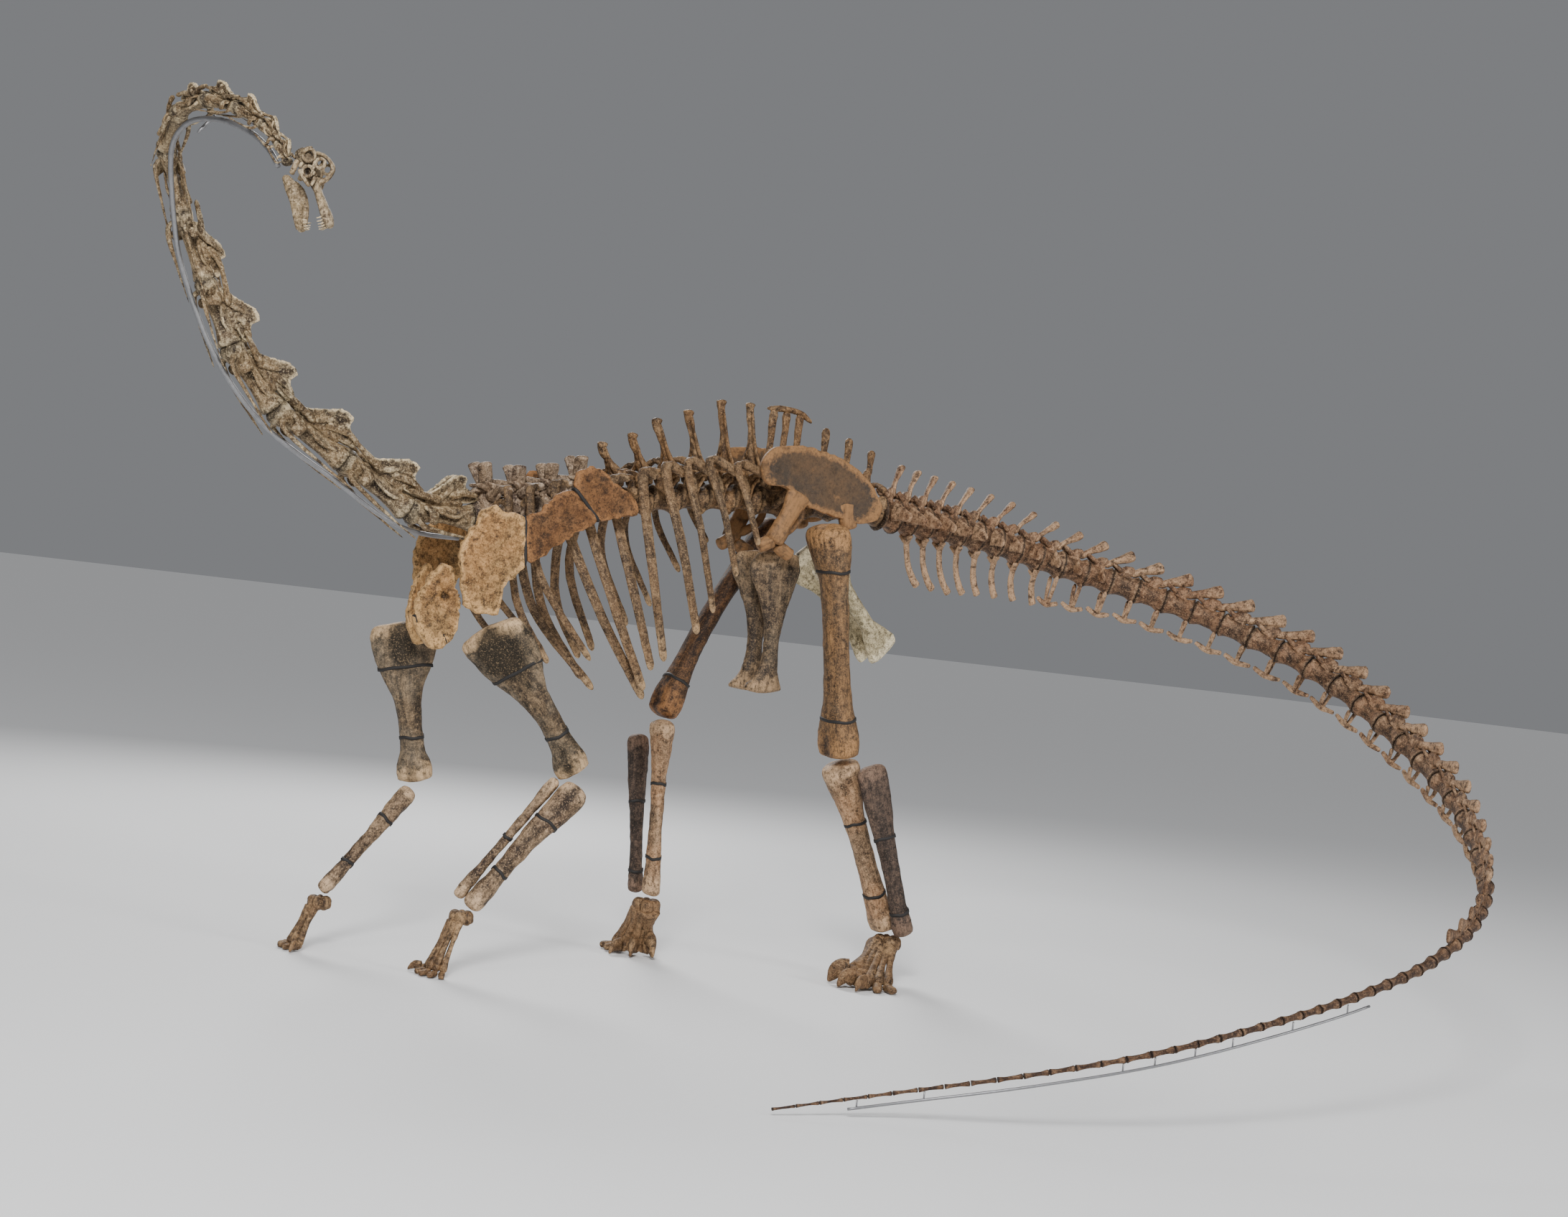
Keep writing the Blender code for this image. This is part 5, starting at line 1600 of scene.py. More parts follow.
ARM_LUMPS = (Lump(0.13, 90, -0.42, 0.16, 0.55), Lump(0.13, 270, -0.25, 0.16, 0.55),
             Lump(0.30, 20, 0.14, 0.10, 0.4), Lump(0.95, 270, -0.22, 0.08, 0.4),
             Lump(0.95, 90, -0.18, 0.08, 0.4))
THIGH_SHADE: Table = ((0.0, 0.30), (0.72, 0.24), (0.86, 0.0), (1.0, 0.0))
ARM_SHADE: Table = ((0.0, 0.0), (0.04, 0.06), (0.14, 0.42), (0.28, 0.22), (0.42, 0.0), (0.66, 0.0),
                    (0.78, 0.36), (0.92, 0.30), (1.0, 0.0))
FOREARM_SHADE: Table = ((0.0, 0.0), (0.28, 0.0), (0.62, 0.26), (0.92, 0.16), (1.0, 0.0))
PUBIS_TABLE: Table = ((0.0, 0.100, 0.030, 0), (0.12, 0.130, 0.030, -0.012), (0.30, 0.090, 0.026, 0),
                      (0.50, 0.048, 0.028, 0.008), (0.74, 0.038, 0.030, 0.006),
                      (0.90, 0.066, 0.036, -0.006), (0.97, 0.096, 0.040, -0.016),
                      (1.0, 0.088, 0.036, -0.016))
ISCHIUM_TABLE: Table = ((0.0, 0.10, 0.024, 0), (0.15, 0.085, 0.024, 0), (0.40, 0.036, 0.022, 0),
                        (0.65, 0.036, 0.022, 0), (0.86, 0.074, 0.025, 0), (0.95, 0.090, 0.024, 0),
                        (1.0, 0.080, 0.019, 0))


def mirrored(point: Any, side: Side) -> Array:
    """A point given by its distance from the midplane, set on one side."""
    return np.asarray(point, float) * (1.0, side.value, 1.0)


def resized(stations: Table, size: tuple[float, float]) -> Table:
    """A bone's stations with both half sizes multiplied."""
    return tuple((t, wide * size[0], deep * size[1], *shift) for t, wide, deep, *shift in stations)


def between(high: Array, low: Array, skip_high: float, skip_low: float) -> tuple[Array, Array]:
    """The stretch between two joints, shortened at each end."""
    run = unit(low - high)
    return high + run * skip_high, low - run * skip_low


@dataclass(frozen=True)
class LegPose:
    """Where one side's joints stand."""

    side: Side
    knee: Point
    ankle: Point
    glenoid: Point
    elbow: Point
    wrist: Point
    hind_toes: tuple[float, float]
    fore_toes: tuple[float, float]
    hind_swing: float
    fore_swing: float
    thigh_bow: Point
    arm_bow: Point
    shoulder_shift: Point
    fibula_back: float
    fibula_top: float
    femur_size: tuple[float, float] = (1.0, 1.0)
    tibia_size: tuple[float, float] = (1.0, 1.0)
    ulna_size: tuple[float, float] = (1.0, 1.0)
    fibula_size: tuple[float, float] = (1.0, 1.0)


POSES = (
    LegPose(Side.LEFT, (0.222, 0.215, 1.000), (0.582, 0.25, 0.222), (-1.630, 0.26, 1.425),
            (-1.130, 0.31, 0.845), (-1.545, 0.245, 0.270), (0.440, -0.40), (-1.605, -0.265), 0.55, 0.20,
            (0.0, 0.0, 0.0), (0.040, 0.0, 0.0), (0.0, 0.0, 0.0), 0.100, 0.002),
    LegPose(Side.RIGHT, (-0.485, 0.215, 1.098), (-0.425, 0.245, 0.275), (-1.750, 0.30, 1.400),
            (-1.580, 0.31, 0.705), (-1.975, 0.240, 0.235), (-0.375, 0.383), (-2.005, 0.265), -0.50, 0.10,
            (-0.045, 0.0, 0.0), (0.0, 0.0, 0.0), (0.075, -0.030, 0.0), -0.055, -0.080, (0.80, 0.82),
            (0.76, 0.62), (0.72, 0.72), (0.85, 0.70)),
)


@dataclass(frozen=True)
class Legs:
    """Both legs of one side, above the feet."""

    pose: LegPose
    hip: Point = (0.0, 0.235, 2.00)
    radius_lower: float = 0.035

    def bones(self) -> Iterable[tuple[str, str, Slot, LongBone]]:
        """(node, finish, slot, bone) for each limb bone.

        Returns:
            The bones from the hip down, then from the shoulder down.
        """
        pose, y = self.pose, self.pose.side.value
        hip, knee, ankle = (mirrored(p, pose.side) for p in (self.hip, pose.knee, pose.ankle))
        lateral = np.array([0.0, y, 0.0])
        start, end = between(hip + (0.015, 0.025 * y, 0.050), knee, 0.0, 0.006)
        # the far femur takes the darker copy, its shade painted
        thigh = "thigh_bone" if pose.side is Side.LEFT else "thigh_bone_shaded"
        yield ("femur", thigh, Slot.RUST,
               LongBone(start, end, lateral, resized(FEMUR, pose.femur_size), CONDYLES, pose.thigh_bow,
                        (0.20, 0.83), THIGH_SHADE if pose.side is Side.RIGHT else NO_SHADE))
        start, end = between(knee + (0.014 if pose.side is Side.LEFT else 0.0, 0, 0), ankle, 0.010, 0.010)
        inward = np.array([0.0, -0.030 * y, 0.0])
        yield ("tibia", "shin_bone", Slot.RUST,
               LongBone(start + inward, end + inward, lateral, resized(TIBIA, pose.tibia_size), SHIN_LUMPS,
                        seams=(0.36, 0.78)))
        behind = pose.fibula_back
        top = np.array([0.9 * behind, 0.098 * y, pose.fibula_top])
        foot = np.array([0.3 * behind, 0.088 * y, -0.005])
        yield ("fibula", "calf_bone", Slot.GREY,
               LongBone(start + top, end + foot, lateral, resized(FIBULA, pose.fibula_size),
                        seams=(0.42, 0.86), rows=48, around=20))
        glenoid, elbow, wrist = (mirrored(p, pose.side) for p in (pose.glenoid, pose.elbow, pose.wrist))
        seen_wide = np.array([0.85, -0.53, 0.0])
        start, end = between(glenoid + (0.03, 0.03 * y, -0.015), elbow, -0.012, 0.018)
        yield ("humerus", "arm_bone", Slot.GREY,
               LongBone(start, end, seen_wide, HUMERUS, ARM_LUMPS, pose.arm_bow, (0.28, 0.72),
                        ARM_SHADE if pose.side is Side.LEFT else NO_SHADE))
        start, end = between(elbow, wrist, 0.024, 0.022)
        run = unit(end - start)
        if pose.side is Side.LEFT:
            front = unit(np.cross(run, (0.53, 0.85, 0.0)))
            front = front if front[2] > 0 else -front
            ulna_off, radius_off = front * -0.022, front * 0.056
        else:
            front = np.array([0.53, 0.85, 0.0])
            ulna_off, radius_off = front * -0.038, front * 0.044
        yield ("ulna", "forearm_bone", Slot.DARK,
               LongBone(start + ulna_off, end + ulna_off * 0.9, front, resized(ULNA, pose.ulna_size),
                        ULNA_LUMPS, seams=(0.30, 0.72), shade=FOREARM_SHADE, around=28))
        yield ("radius", "forearm_bone", Slot.DARK,
               LongBone(start + radius_off + run * self.radius_lower, end + radius_off * 0.86, front,
                        resized(RADIUS, (0.78, 0.78)), seams=(0.5,), shade=FOREARM_SHADE, rows=48,
                        around=20))

    def build(self, shop: Workshop) -> None:
        """Makes the limb bones of this side and the dark bands round them.

        Args:
            shop: the maker of the objects.
        """
        tag = self.pose.side.tag
        bands: list[Shell] = []
        for node, finish, slot, bone in self.bones():
            shop.piece(f"{node}_bone_{tag}", [bone.shell()], finish, slot, f"{node}_{tag}",
                       relief=Relief(0.0022, 0.09))
            bands += [bone.seam(at) for at in bone.seams]
        shop.piece(f"limb_bands_{tag}", bands, "seam_dark_and_gap_shade", Slot.DARK)


@dataclass(frozen=True)
class Foot:
    """A foot: lumpy wrist or ankle bones, splayed long foot bones, toes and claws."""

    node: str
    ankle: Array
    toes: tuple[float, float]
    swing: float
    widths: tuple[float, ...]
    claws: tuple[bool, ...]
    block: Point
    spread: float
    reach: float
    lumps: int = 6

    def build(self, shop: Workshop) -> None:
        """Makes the foot as one piece.

        Args:
            shop: the maker of the objects.
        """
        y = 1.0 if self.toes[1] > 0 else -1.0
        long, broad, tall = self.block
        top = self.ankle + (0, 0, -tall)
        made: list[Shell] = []
        for k, turn in enumerate(turns(self.lumps)):
            size = 0.40 + 0.05 * math.cos(3.1 * k)
            where = top + (0.52 * long * math.cos(turn), 0.52 * broad * math.sin(turn), 0)
            made.append(strut([where + (0, 0, 0.85 * tall), where, where - (0, 0, 0.62 * tall)],
                              [(size * long, size * broad)] * 3, AFT, 12, 12, 0.35))
        for k, (width, claw) in enumerate(zip(self.widths, self.claws)):
            angle = (k - 2) * self.spread + self.swing
            out = np.array([-math.cos(angle), y * math.sin(angle), 0.0])
            high = top + out * (0.66 * long) + (0, 0, -0.15 * tall)
            low = np.array([*self.toes, 0.0]) + out * (0.74 * self.reach) + (0, 0, width * 0.60)
            made += self.digit(high, low, low + out * self.reach * (0.90 if claw else 0.52), width, claw)
        shop.piece(f"{self.node}_bones", made, "foot_bone", Slot.RUST, self.node,
                   relief=Relief(0.0012, 0.04))

    def digit(self, high: Array, low: Array, tip: Array, w: float, claw: bool) -> list[Shell]:
        """One long foot bone with its toe on the floor.

        Args:
            high: the bone's upper end.
            low: its lower end.
            tip: the point above the toe's tip.
            w: the digit's width.
            claw: whether the toe ends in a claw.

        Returns:
            The bone, the toe and any claw.
        """
        across = np.cross(tip - low, UP)
        made = [strut([high, 0.5 * (high + low), low],
                      [(0.50 * w, 0.46 * w), (0.26 * w, 0.26 * w), (0.48 * w, 0.42 * w)], across, 22, 14, 0.06)]
        forward = (tip - low) * (1.0, 1.0, 0.0)

        def spot(share: float, height: float) -> Array:
            """A point over the floor, a share of the way along the toe."""
            return low * (1.0, 1.0, 0.0) + share * forward + (0, 0, height * w)

        if claw:
            made.append(strut([spot(-0.10, 0.52), spot(0.30, 0.50)],
                              [(0.40 * w, 0.38 * w), (0.42 * w, 0.40 * w)], across, 12, 12, 0.2))
            made.append(strut([spot(0.30, 0.62), spot(0.70, 0.62), spot(1.02, 0.10)],
                              [(0.30 * w, 0.52 * w), (0.22 * w, 0.40 * w), (0.05 * w, 0.08 * w)],
                              across, 18, 12, 0.08))
            return made
        made.append(strut([spot(-0.12, 0.42), spot(0.45, 0.36), spot(1.0, 0.30)],
                          [(0.44 * w, 0.40 * w), (0.34 * w, 0.32 * w), (0.34 * w, 0.27 * w)],
                          across, 16, 12, 0.15))
        return made


BLADE_ROOT: Table = ((-1.704, 1.900), (-1.653, 1.918), (-1.626, 1.894), (-1.530, 1.889), (-1.514, 1.797),
                     (-1.500, 1.683), (-1.573, 1.608), (-1.587, 1.546), (-1.595, 1.470), (-1.685, 1.478),
                     (-1.732, 1.491), (-1.762, 1.570), (-1.788, 1.698), (-1.761, 1.794), (-1.725, 1.832))
BLADE_SHAFT: Table = ((-1.526, 1.892), (-1.454, 1.917), (-1.403, 1.990), (-1.356, 2.010), (-1.318, 2.026),
                      (-1.192, 1.907), (-1.285, 1.851), (-1.375, 1.781), (-1.487, 1.690), (-1.508, 1.755))
BLADE_END: Table = ((-1.314, 2.098), (-1.255, 2.129), (-1.190, 2.115), (-1.147, 2.076), (-1.040, 2.039),
                    (-1.008, 1.975), (-1.035, 1.954), (-1.127, 1.927), (-1.188, 1.908), (-1.326, 2.030))
CORACOID: Table = ((-1.785, 1.663), (-1.755, 1.648), (-1.742, 1.589), (-1.720, 1.537), (-1.709, 1.450),
                   (-1.725, 1.350), (-1.759, 1.315), (-1.796, 1.310), (-1.828, 1.344), (-1.857, 1.396),
                   (-1.868, 1.472), (-1.851, 1.541), (-1.820, 1.612))


# ends of the dark strips of painted shade in the shoulder blade's gaps
BLADE_GAP_SHADES = (((-1.527, 1.893), (-1.501, 1.684)), ((-1.324, 2.032), (-1.190, 1.905)))
CORACOID_MARKS = (((-1.834, 1.404), (-1.823, 1.350)), ((-1.760, 1.372), (-1.741, 1.334)),
                  ((-1.863, 1.440), (-1.852, 1.404)))


@dataclass(frozen=True)
class Shoulder:
    """Shoulder blade in three lengths, with dark strips of painted shade in the gaps between them, and coracoid
    of one side.
    """

    pose: LegPose
    halves: tuple[float, float, float, float] = (0.017, 0.014, 0.012, 0.019)
    gap_shade_y: float = 0.354

    def blade_wall(self, x: Array, z: Array) -> Array:
        """y of the blade's middle, curved round the ribs."""
        lean = 0.10 * np.clip(z - 1.98, 0, 1)
        return self.pose.side.value * (0.352 + 0.010 * np.sin((x + 1.75) * 4.2) - lean)

    def coracoid_wall(self, x: Array, z: Array) -> Array:
        """y of the coracoid's middle, slanted inwards towards the front."""
        return self.pose.side.value * (0.214 + 0.62 * (x + 1.755))

    def build(self, shop: Workshop) -> None:
        """Makes both bones, the dark strips that paint the shade in the blade's gaps, and the coracoid's dark
        marks.

        Args:
            shop: the maker of the objects.
        """
        side, tag = self.pose.side, self.pose.side.tag
        place = Place.upright(self.pose.shoulder_shift)
        root, shaft, end, front = self.halves
        plates = (Plate((-1.640, 1.700), BLADE_ROOT, root, 96), Plate((-1.365, 1.890), BLADE_SHAFT, shaft),
                  Plate((-1.185, 2.020), BLADE_END, end))
        shells = [plate.shell(self.blade_wall).at(place) for plate in plates]
        for name, part, finish in (("root", shells[:1], "shoulder_bone"), ("end", shells[1:], "blade_bone")):
            shop.piece(f"shoulder_blade_{name}_{tag}", part, finish, Slot.RUST, f"scapula_{tag}",
                       relief=Relief(0.0048, 0.07))
        # painted shade: dark strips in the blade's gaps, and dark marks on the coracoid
        joints = [strut([(x, side.value * self.gap_shade_y, z) for x, z in ends], [(0.0095, 0.025)] * 2, AFT,
                        10, 8, 0.1) for ends in BLADE_GAP_SHADES]
        joints += [strut([(x, self.coracoid_wall(x, z), z) for x, z in ends], [(0.003, 0.021)] * 2, AFT,
                         8, 8, 0.1) for ends in CORACOID_MARKS]
        shop.piece(f"blade_joints_{tag}", [shell.at(place) for shell in joints], "seam_dark_and_gap_shade", Slot.DARK)
        # the coracoid's hole is dented in and painted with shade
        coracoid = Plate((-1.770, 1.530), CORACOID, front, around=96, hole=1.0)
        shop.piece(f"coracoid_bone_{tag}", [coracoid.shell(self.coracoid_wall).at(place)], "shoulder_bone",
                   Slot.RUST, f"coracoid_{tag}", relief=Relief(0.0045, 0.06))


ILIUM: Table = ((-0.380, 2.253), (-0.361, 2.308), (-0.306, 2.351), (-0.166, 2.380), (-0.018, 2.367),
                (0.116, 2.324), (0.223, 2.249), (0.278, 2.167), (0.267, 2.093), (0.195, 2.066),
                (0.086, 2.079), (-0.021, 2.092), (-0.108, 2.116), (-0.154, 2.145), (-0.243, 2.186),
                (-0.302, 2.172), (-0.356, 2.196))


ILIUM_LEGS = (
    (((-0.145, 0.212, 2.17), (-0.190, 0.205, 2.06), (-0.250, 0.195, 1.930)),
     ((0.070, 0.018), (0.043, 0.026), (0.046, 0.034)), 20, 20, 0.08, 2.4, 0.8),
    (((0.11, 0.212, 2.16), (0.135, 0.205, 2.035)),
     ((0.060, 0.016), (0.038, 0.026)), 16, 18, 0.12, 2.4, 0.8),
    (((-0.200, 0.185, 2.150), (-0.108, 0.172, 2.115), (-0.118, 0.168, 2.035), (-0.215, 0.180, 1.965)),
     ((0.026, 0.018), (0.018, 0.014), (0.018, 0.014), (0.026, 0.018)), 18, 14, 0.14, 2.2, 0.7),
    (((-0.240, 0.190, 1.945), (-0.312, 0.172, 1.905)),
     ((0.034, 0.030), (0.030, 0.024)), 18, 14, 0.14, 2.2, 0.7),
    (((-0.225, 0.185, 1.925), (-0.130, 0.170, 1.884)),
     ((0.030, 0.026), (0.032, 0.024)), 18, 14, 0.14, 2.2, 0.7))


@dataclass(frozen=True)
class Hips:
    """Ilium, pubis and ischium of one side."""

    side: Side
    ilium_half: float = 0.017
    far_pubis_shift: float = -0.03

    def dish(self, x: Array, z: Array) -> Array:
        """y of the ilium's middle, bowed outwards towards both ends."""
        return self.side.value * (0.222 + 0.030 * ((x + 0.05) / 0.33) ** 2 - 0.020)

    def build(self, shop: Workshop) -> None:
        """Makes the three hip bones.

        Args:
            shop: the maker of the objects.
        """
        side, tag = self.side, self.side.tag
        made = [Plate((-0.050, 2.235), ILIUM, self.ilium_half, 120, crisp=0.4, swell=0.30).shell(self.dish)]
        made += [strut(mirrored(points, side), sizes, AFT, *shape) for points, sizes, *shape in ILIUM_LEGS]
        shop.piece(f"ilium_bone_{tag}", made, "hip_bone", Slot.RUST, f"ilium_{tag}",
                   relief=Relief(0.0022, 0.10))
        shift = 0.0 if side is Side.LEFT else self.far_pubis_shift
        pubis = LongBone(mirrored((-0.142, 0.084, 1.900), side), mirrored((-0.105 + shift, 0.040, 1.262), side),
                         np.array([1, 0, 0.1]), PUBIS_TABLE, rows=56, around=28)
        shop.piece(f"pubis_bone_{tag}", [pubis.shell()], "pubis_bone", Slot.GREY, f"pubis_{tag}",
                   relief=Relief(0.0022, 0.08))
        ischium = LongBone(mirrored((0.075, 0.130, 1.905), side), mirrored((0.520, 0.045, 1.500), side),
                           np.array([1.0, 0, 1.0]), ISCHIUM_TABLE, rows=56, around=28)
        shop.piece(f"ischium_bone_{tag}", [ischium.shell()], "ischium_bone", Slot.PALE, f"ischium_{tag}",
                   relief=Relief(0.0020, 0.07))


# ---- head -----------------------------------------------------------------------------------
BRAINCASE = ((-0.014, 0.016, 0.022, 0.020), (0.006, 0.018, 0.032, 0.032), (0.040, 0.028, 0.030, 0.034),
             (0.075, 0.044, 0.022, 0.026), (0.105, 0.052, 0.014, 0.014))
SNOUT = ((0.098, 0.060), (0.135, 0.060), (0.190, 0.076), (0.240, 0.092), (0.278, 0.102))
SNOUT_SIZES = ((0.030, 0.018), (0.026, 0.013), (0.030, 0.015), (0.035, 0.018), (0.022, 0.012))
ARCH = ((0.010, 0.058), (0.026, 0.094), (0.064, 0.118), (0.098, 0.104), (0.122, 0.062))
ARCH_SIZES = ((0.014, 0.008), (0.012, 0.007), (0.014, 0.007), (0.012, 0.007), (0.014, 0.009))
CHEEK_BARS = ((((0.040, 0.006), (0.066, -0.006), (0.090, -0.018)), 0.010),
              (((0.048, 0.024), (0.075, 0.012), (0.110, 0.028), (0.140, 0.046)), 0.007),
              (((0.046, 0.070), (0.078, 0.062), (0.108, 0.066), (0.136, 0.052)), 0.006),
              (((0.020, 0.020), (0.006, 0.040), (0.004, 0.062)), 0.008))
OPENINGS = ((0.027, 0.047, 0.022), (0.083, 0.040, 0.019), (0.060, 0.086, 0.017))
UPPER_TEETH = ((0.280, 0.005), (0.274, 0.012), (0.266, 0.018), (0.257, 0.023), (0.246, 0.026))
JAW = ((0.092, -0.042, 0.042), (0.135, -0.020, 0.041), (0.190, -0.006, 0.036), (0.245, -0.004, 0.027),
       (0.280, -0.004, 0.004))
JAW_SIZES = ((0.012, 0.008), (0.023, 0.008), (0.021, 0.008), (0.016, 0.009), (0.014, 0.010))
LOWER_TEETH = ((0.272, 0.006), (0.264, 0.012), (0.255, 0.018), (0.245, 0.022))


@dataclass(frozen=True)
class Head:
    """Skull and lower jaw, about the joint with the neck."""

    at: Point = (-2.815, -0.975, 3.008)
    snout: Point = (0.10, -0.15, -0.98)
    crown: Point = (0.75, -0.60, 0.25)

    def place(self) -> Place:
        """x back from the snout, y to the skull's right, z out of the crown.

        Returns:
            The head's place.
        """
        forward = unit(self.snout)
        crown = np.asarray(self.crown, float)
        crown = unit(crown - forward * crown.dot(forward))
        return Place(np.asarray(self.at, float), np.stack([-forward, np.cross(forward, crown), crown]))

    @staticmethod
    def spot(forward: float, up: float, right: float = 0.0) -> Point:
        """A point by its distances towards the snout, the crown and the right."""
        return (-forward, right, up)

    def skull(self) -> list[Shell]:
        """Braincase, snout, arch, cheek bars, the rims of its openings and the upper teeth.

        Returns:
            Their shells.
        """
        spot = self.spot
        back, reach = BRAINCASE[0][0], BRAINCASE[-1][0] - BRAINCASE[0][0]
        f = back + reach * eased(24)
        values = reading(BRAINCASE, f)
        centres = np.stack([-f, np.zeros_like(f), values[:, 0]], axis=-1)
        half = dome(eased(24), 0.2, 0.15)
        # the braincase, set back behind its bars, is painted with shade all over
        made = [loft(centres, ACROSS, UP, values[:, 1] * half, values[:, 2] * half, 24, 2.4, None, 0.0, 0.45)]
        made.append(strut([spot(f, u) for f, u in SNOUT], SNOUT_SIZES, ACROSS, 30, 20, 0.06))
        made.append(strut([spot(f, u) for f, u in ARCH], ARCH_SIZES, ACROSS, 30, 12, 0.05))
        for points, size in CHEEK_BARS:
            made += pair([spot(f, u, 0.040) for f, u in points], [(size, 0.006)] * len(points), AFT, 16, 10)
        for forward, up, size in OPENINGS:
            turn = np.linspace(0, 2 * math.pi, 9)[:, None]
            ring = np.array(spot(forward, up, 0.038)) + size * (np.cos(turn) * AFT + np.sin(turn) * UP)
            made += pair(ring, [(0.005, 0.006)] * 9, ACROSS, 40, 8, 0.02)
        for forward, right in UPPER_TEETH:
            made += pair([spot(forward - 0.006, 0.090, right), spot(forward, 0.076, right),
                          spot(forward + 0.001, 0.062, right)],
                         [(0.0034, 0.0034), (0.0034, 0.0030), (0.0012, 0.0012)], ACROSS, 8, 8, 0.05, 2.0, 1.0)
        return made

    def jaw(self) -> list[Shell]:
        """Both halves of the lower jaw and its teeth.

        Returns:
            Their shells.
        """
        spot = self.spot
        made = pair([spot(*place) for place in JAW], JAW_SIZES, UP, 30, 14, 0.05)
        for forward, right in LOWER_TEETH:
            made += pair([spot(forward, 0.002, right), spot(forward + 0.004, 0.014, right),
                          spot(forward + 0.004, 0.026, right)],
                         [(0.0032, 0.0032), (0.0032, 0.0030), (0.0012, 0.0012)], ACROSS, 8, 8, 0.05, 2.0, 1.0)
        return made

    def build(self, shop: Workshop) -> None:
        """Makes the skull and the jaw.

        Args:
            shop: the maker of the objects.
        """
        place = self.place()
        for name, node, shells in (("skull_bones", "skull", self.skull()), ("jaw_bones", "jaw", self.jaw())):
            shop.piece(name, [shell.at(place) for shell in shells], "skull_bone", Slot.PALE, node,
                       relief=Relief(0.0008, 0.03))


# ---- the room -------------------------------------------------------------------------------
LAMPS = (("key", (-5.5, -6.5, 6.5), (-0.3, 0.5, 1.6), 2.0, 900.0),
         ("fill", (6.0, -7.5, 4.5), (0.5, 0.3, 1.4), 3.0, 420.0),
         ("rim", (1.0, 7.5, 6.0), (0.0, 1.0, 1.8), 3.0, 520.0),
         ("wash", (-5.5, -6.5, 9.5), (-0.3, 0.5, 1.6), 0.7, 0.9, "SUN"))


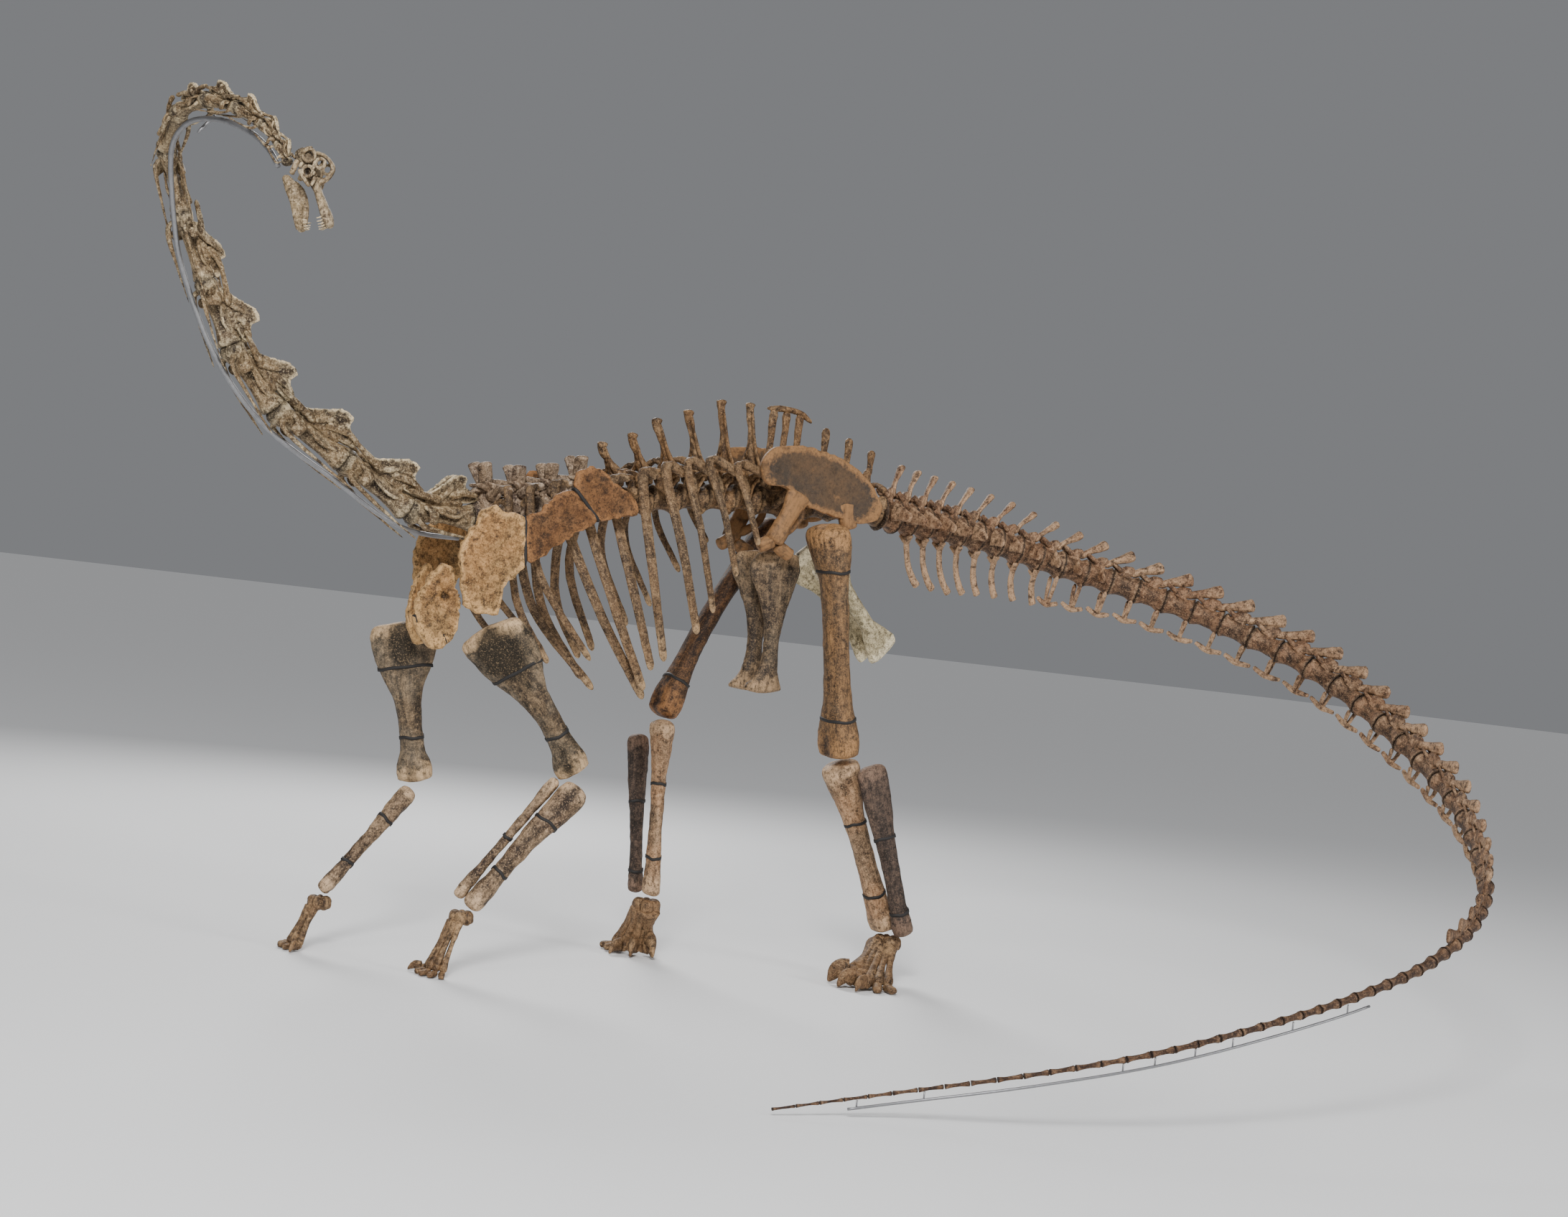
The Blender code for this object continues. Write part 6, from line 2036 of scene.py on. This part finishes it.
@dataclass(frozen=True)
class Room:
    """Pale floor, soft light and the camera."""

    focal_px: float = 2945.0
    image_px: float = 2184.0
    eye_height: float = 1.54
    pitch: float = math.radians(0.66)
    roll: float = math.radians(6.7)
    yaw: float = math.radians(31.58)
    hip_across: float = 0.0254
    hip_away: float = 9.657
    sensor_mm: float = 36.0
    far_limit: float = 800.0
    floor_size: float = 600.0
    floor_gap: float = 0.001
    air: Colour = (0.86, 0.88, 0.92)
    air_strength: float = 0.24

    def build(self, shop: Workshop) -> None:
        """Adds the floor, lights and camera.

        Args:
            shop: the holder of the finishes.
        """
        bpy.ops.mesh.primitive_plane_add(size=self.floor_size, location=(0, 0, -self.floor_gap))
        floor = bpy.context.object
        floor.name = "pale_floor"
        floor.data.materials.append(shop.finishes["floor_pale"])
        world = bpy.data.worlds.new("studio")
        world.use_nodes = True
        glow = world.node_tree.nodes["Background"].inputs
        glow["Color"].default_value = (*self.air, 1.0)
        glow["Strength"].default_value = self.air_strength
        bpy.context.scene.world = world
        for lamp in LAMPS:
            self.light(*lamp)
        self.camera()

    def light(self, name: str, at: Point, towards: Point, size: float, power: float,
              kind: str = "AREA") -> None:
        """One large soft lamp, or a soft sun.

        Args:
            name: its name.
            at: where it hangs.
            towards: where it points.
            size: its size in metres, or a sun's angle in radians.
            power: its power in watts, or a sun's strength.
            kind: AREA or SUN.
        """
        data = bpy.data.lights.new(name, kind)
        setattr(data, "size" if kind == "AREA" else "angle", size)
        data.energy = power
        lamp = bpy.data.objects.new(name, data)
        back = unit(np.asarray(at) - np.asarray(towards))
        right = unit(np.cross(UP, back))
        up = np.cross(back, right)
        lamp.matrix_world = as_matrix(right, up, back, np.asarray(at))
        bpy.context.scene.collection.objects.link(lamp)

    def turned(self, q: Array) -> Array:
        """A direction across, away and up from the camera, turned by its yaw into the frame.

        Args:
            q: the direction or point.

        Returns:
            It in the frame's directions.
        """
        across = np.array([math.cos(self.yaw), math.sin(self.yaw), 0.0])
        away = np.array([-math.sin(self.yaw), math.cos(self.yaw), 0.0])
        return np.array([q @ across, q @ away, q[2]])

    def camera(self) -> None:
        """Sets the camera low on the animal's left front, a little rolled."""
        turn = self.turned
        right = np.array(AFT)
        forward = np.array([0.0, math.cos(self.pitch), math.sin(self.pitch)])
        up = np.array([0.0, -math.sin(self.pitch), math.cos(self.pitch)])
        c, s = math.cos(self.roll), math.sin(self.roll)
        eye = turn(np.array([-self.hip_across, -self.hip_away, self.eye_height])) + HIP_POINT
        data = bpy.data.cameras.new("camera")
        data.sensor_width, data.sensor_fit = self.sensor_mm, "HORIZONTAL"
        data.lens = self.sensor_mm * self.focal_px / self.image_px
        data.clip_end = self.far_limit
        camera = bpy.data.objects.new("camera", data)
        camera.matrix_world = as_matrix(turn(c * right + s * up), turn(c * up - s * right),
                                        turn(-forward), eye)
        bpy.context.scene.collection.objects.link(camera)
        bpy.context.scene.camera = camera


def as_matrix(x: Array, y: Array, z: Array, at: Array) -> Matrix:
    """A placing matrix from three directions and a point.

    Args:
        x: first direction.
        y: second direction.
        z: third direction.
        at: the point.

    Returns:
        The matrix.
    """
    whole = np.eye(4)
    whole[:3, :3] = np.stack([x, y, z], axis=-1)
    whole[:3, 3] = at
    return Matrix(whole.tolist())


def feet(pose: LegPose) -> tuple[Foot, Foot]:
    """The fore and hind foot of one side.

    Args:
        pose: where that side's joints stand.

    Returns:
        The fore foot and the hind foot.
    """
    tag = pose.side.tag
    return (Foot(f"fore_foot_{tag}", mirrored(pose.wrist, pose.side), pose.fore_toes, pose.fore_swing,
                 (0.042, 0.040, 0.040, 0.038, 0.036), (True, False, False, False, False),
                 (0.055, 0.060, 0.040), 0.46, 0.090),
            Foot(f"hind_foot_{tag}", mirrored(pose.ankle, pose.side), pose.hind_toes, pose.hind_swing,
                 (0.108, 0.082, 0.066, 0.058, 0.056), (True, True, True, False, False),
                 (0.070, 0.078, 0.045), 0.46, 0.135))


def main() -> None:
    """Builds every piece in order and reports each."""
    logging.basicConfig(level=logging.INFO, format="%(message)s")
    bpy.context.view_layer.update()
    shop = Workshop()
    Head().build(shop)
    Neck().build(shop)
    Back().build(shop)
    Sacrum().build(shop)
    Tail().build(shop)
    for pose in POSES:
        Legs(pose).build(shop)
        Shoulder(pose).build(shop)
        Hips(pose.side).build(shop)
        for foot in feet(pose):
            foot.build(shop)
    Room().build(shop)
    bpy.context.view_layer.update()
    LOG.info("%d pieces", shop.count)


if __name__ == "__main__":
    main()
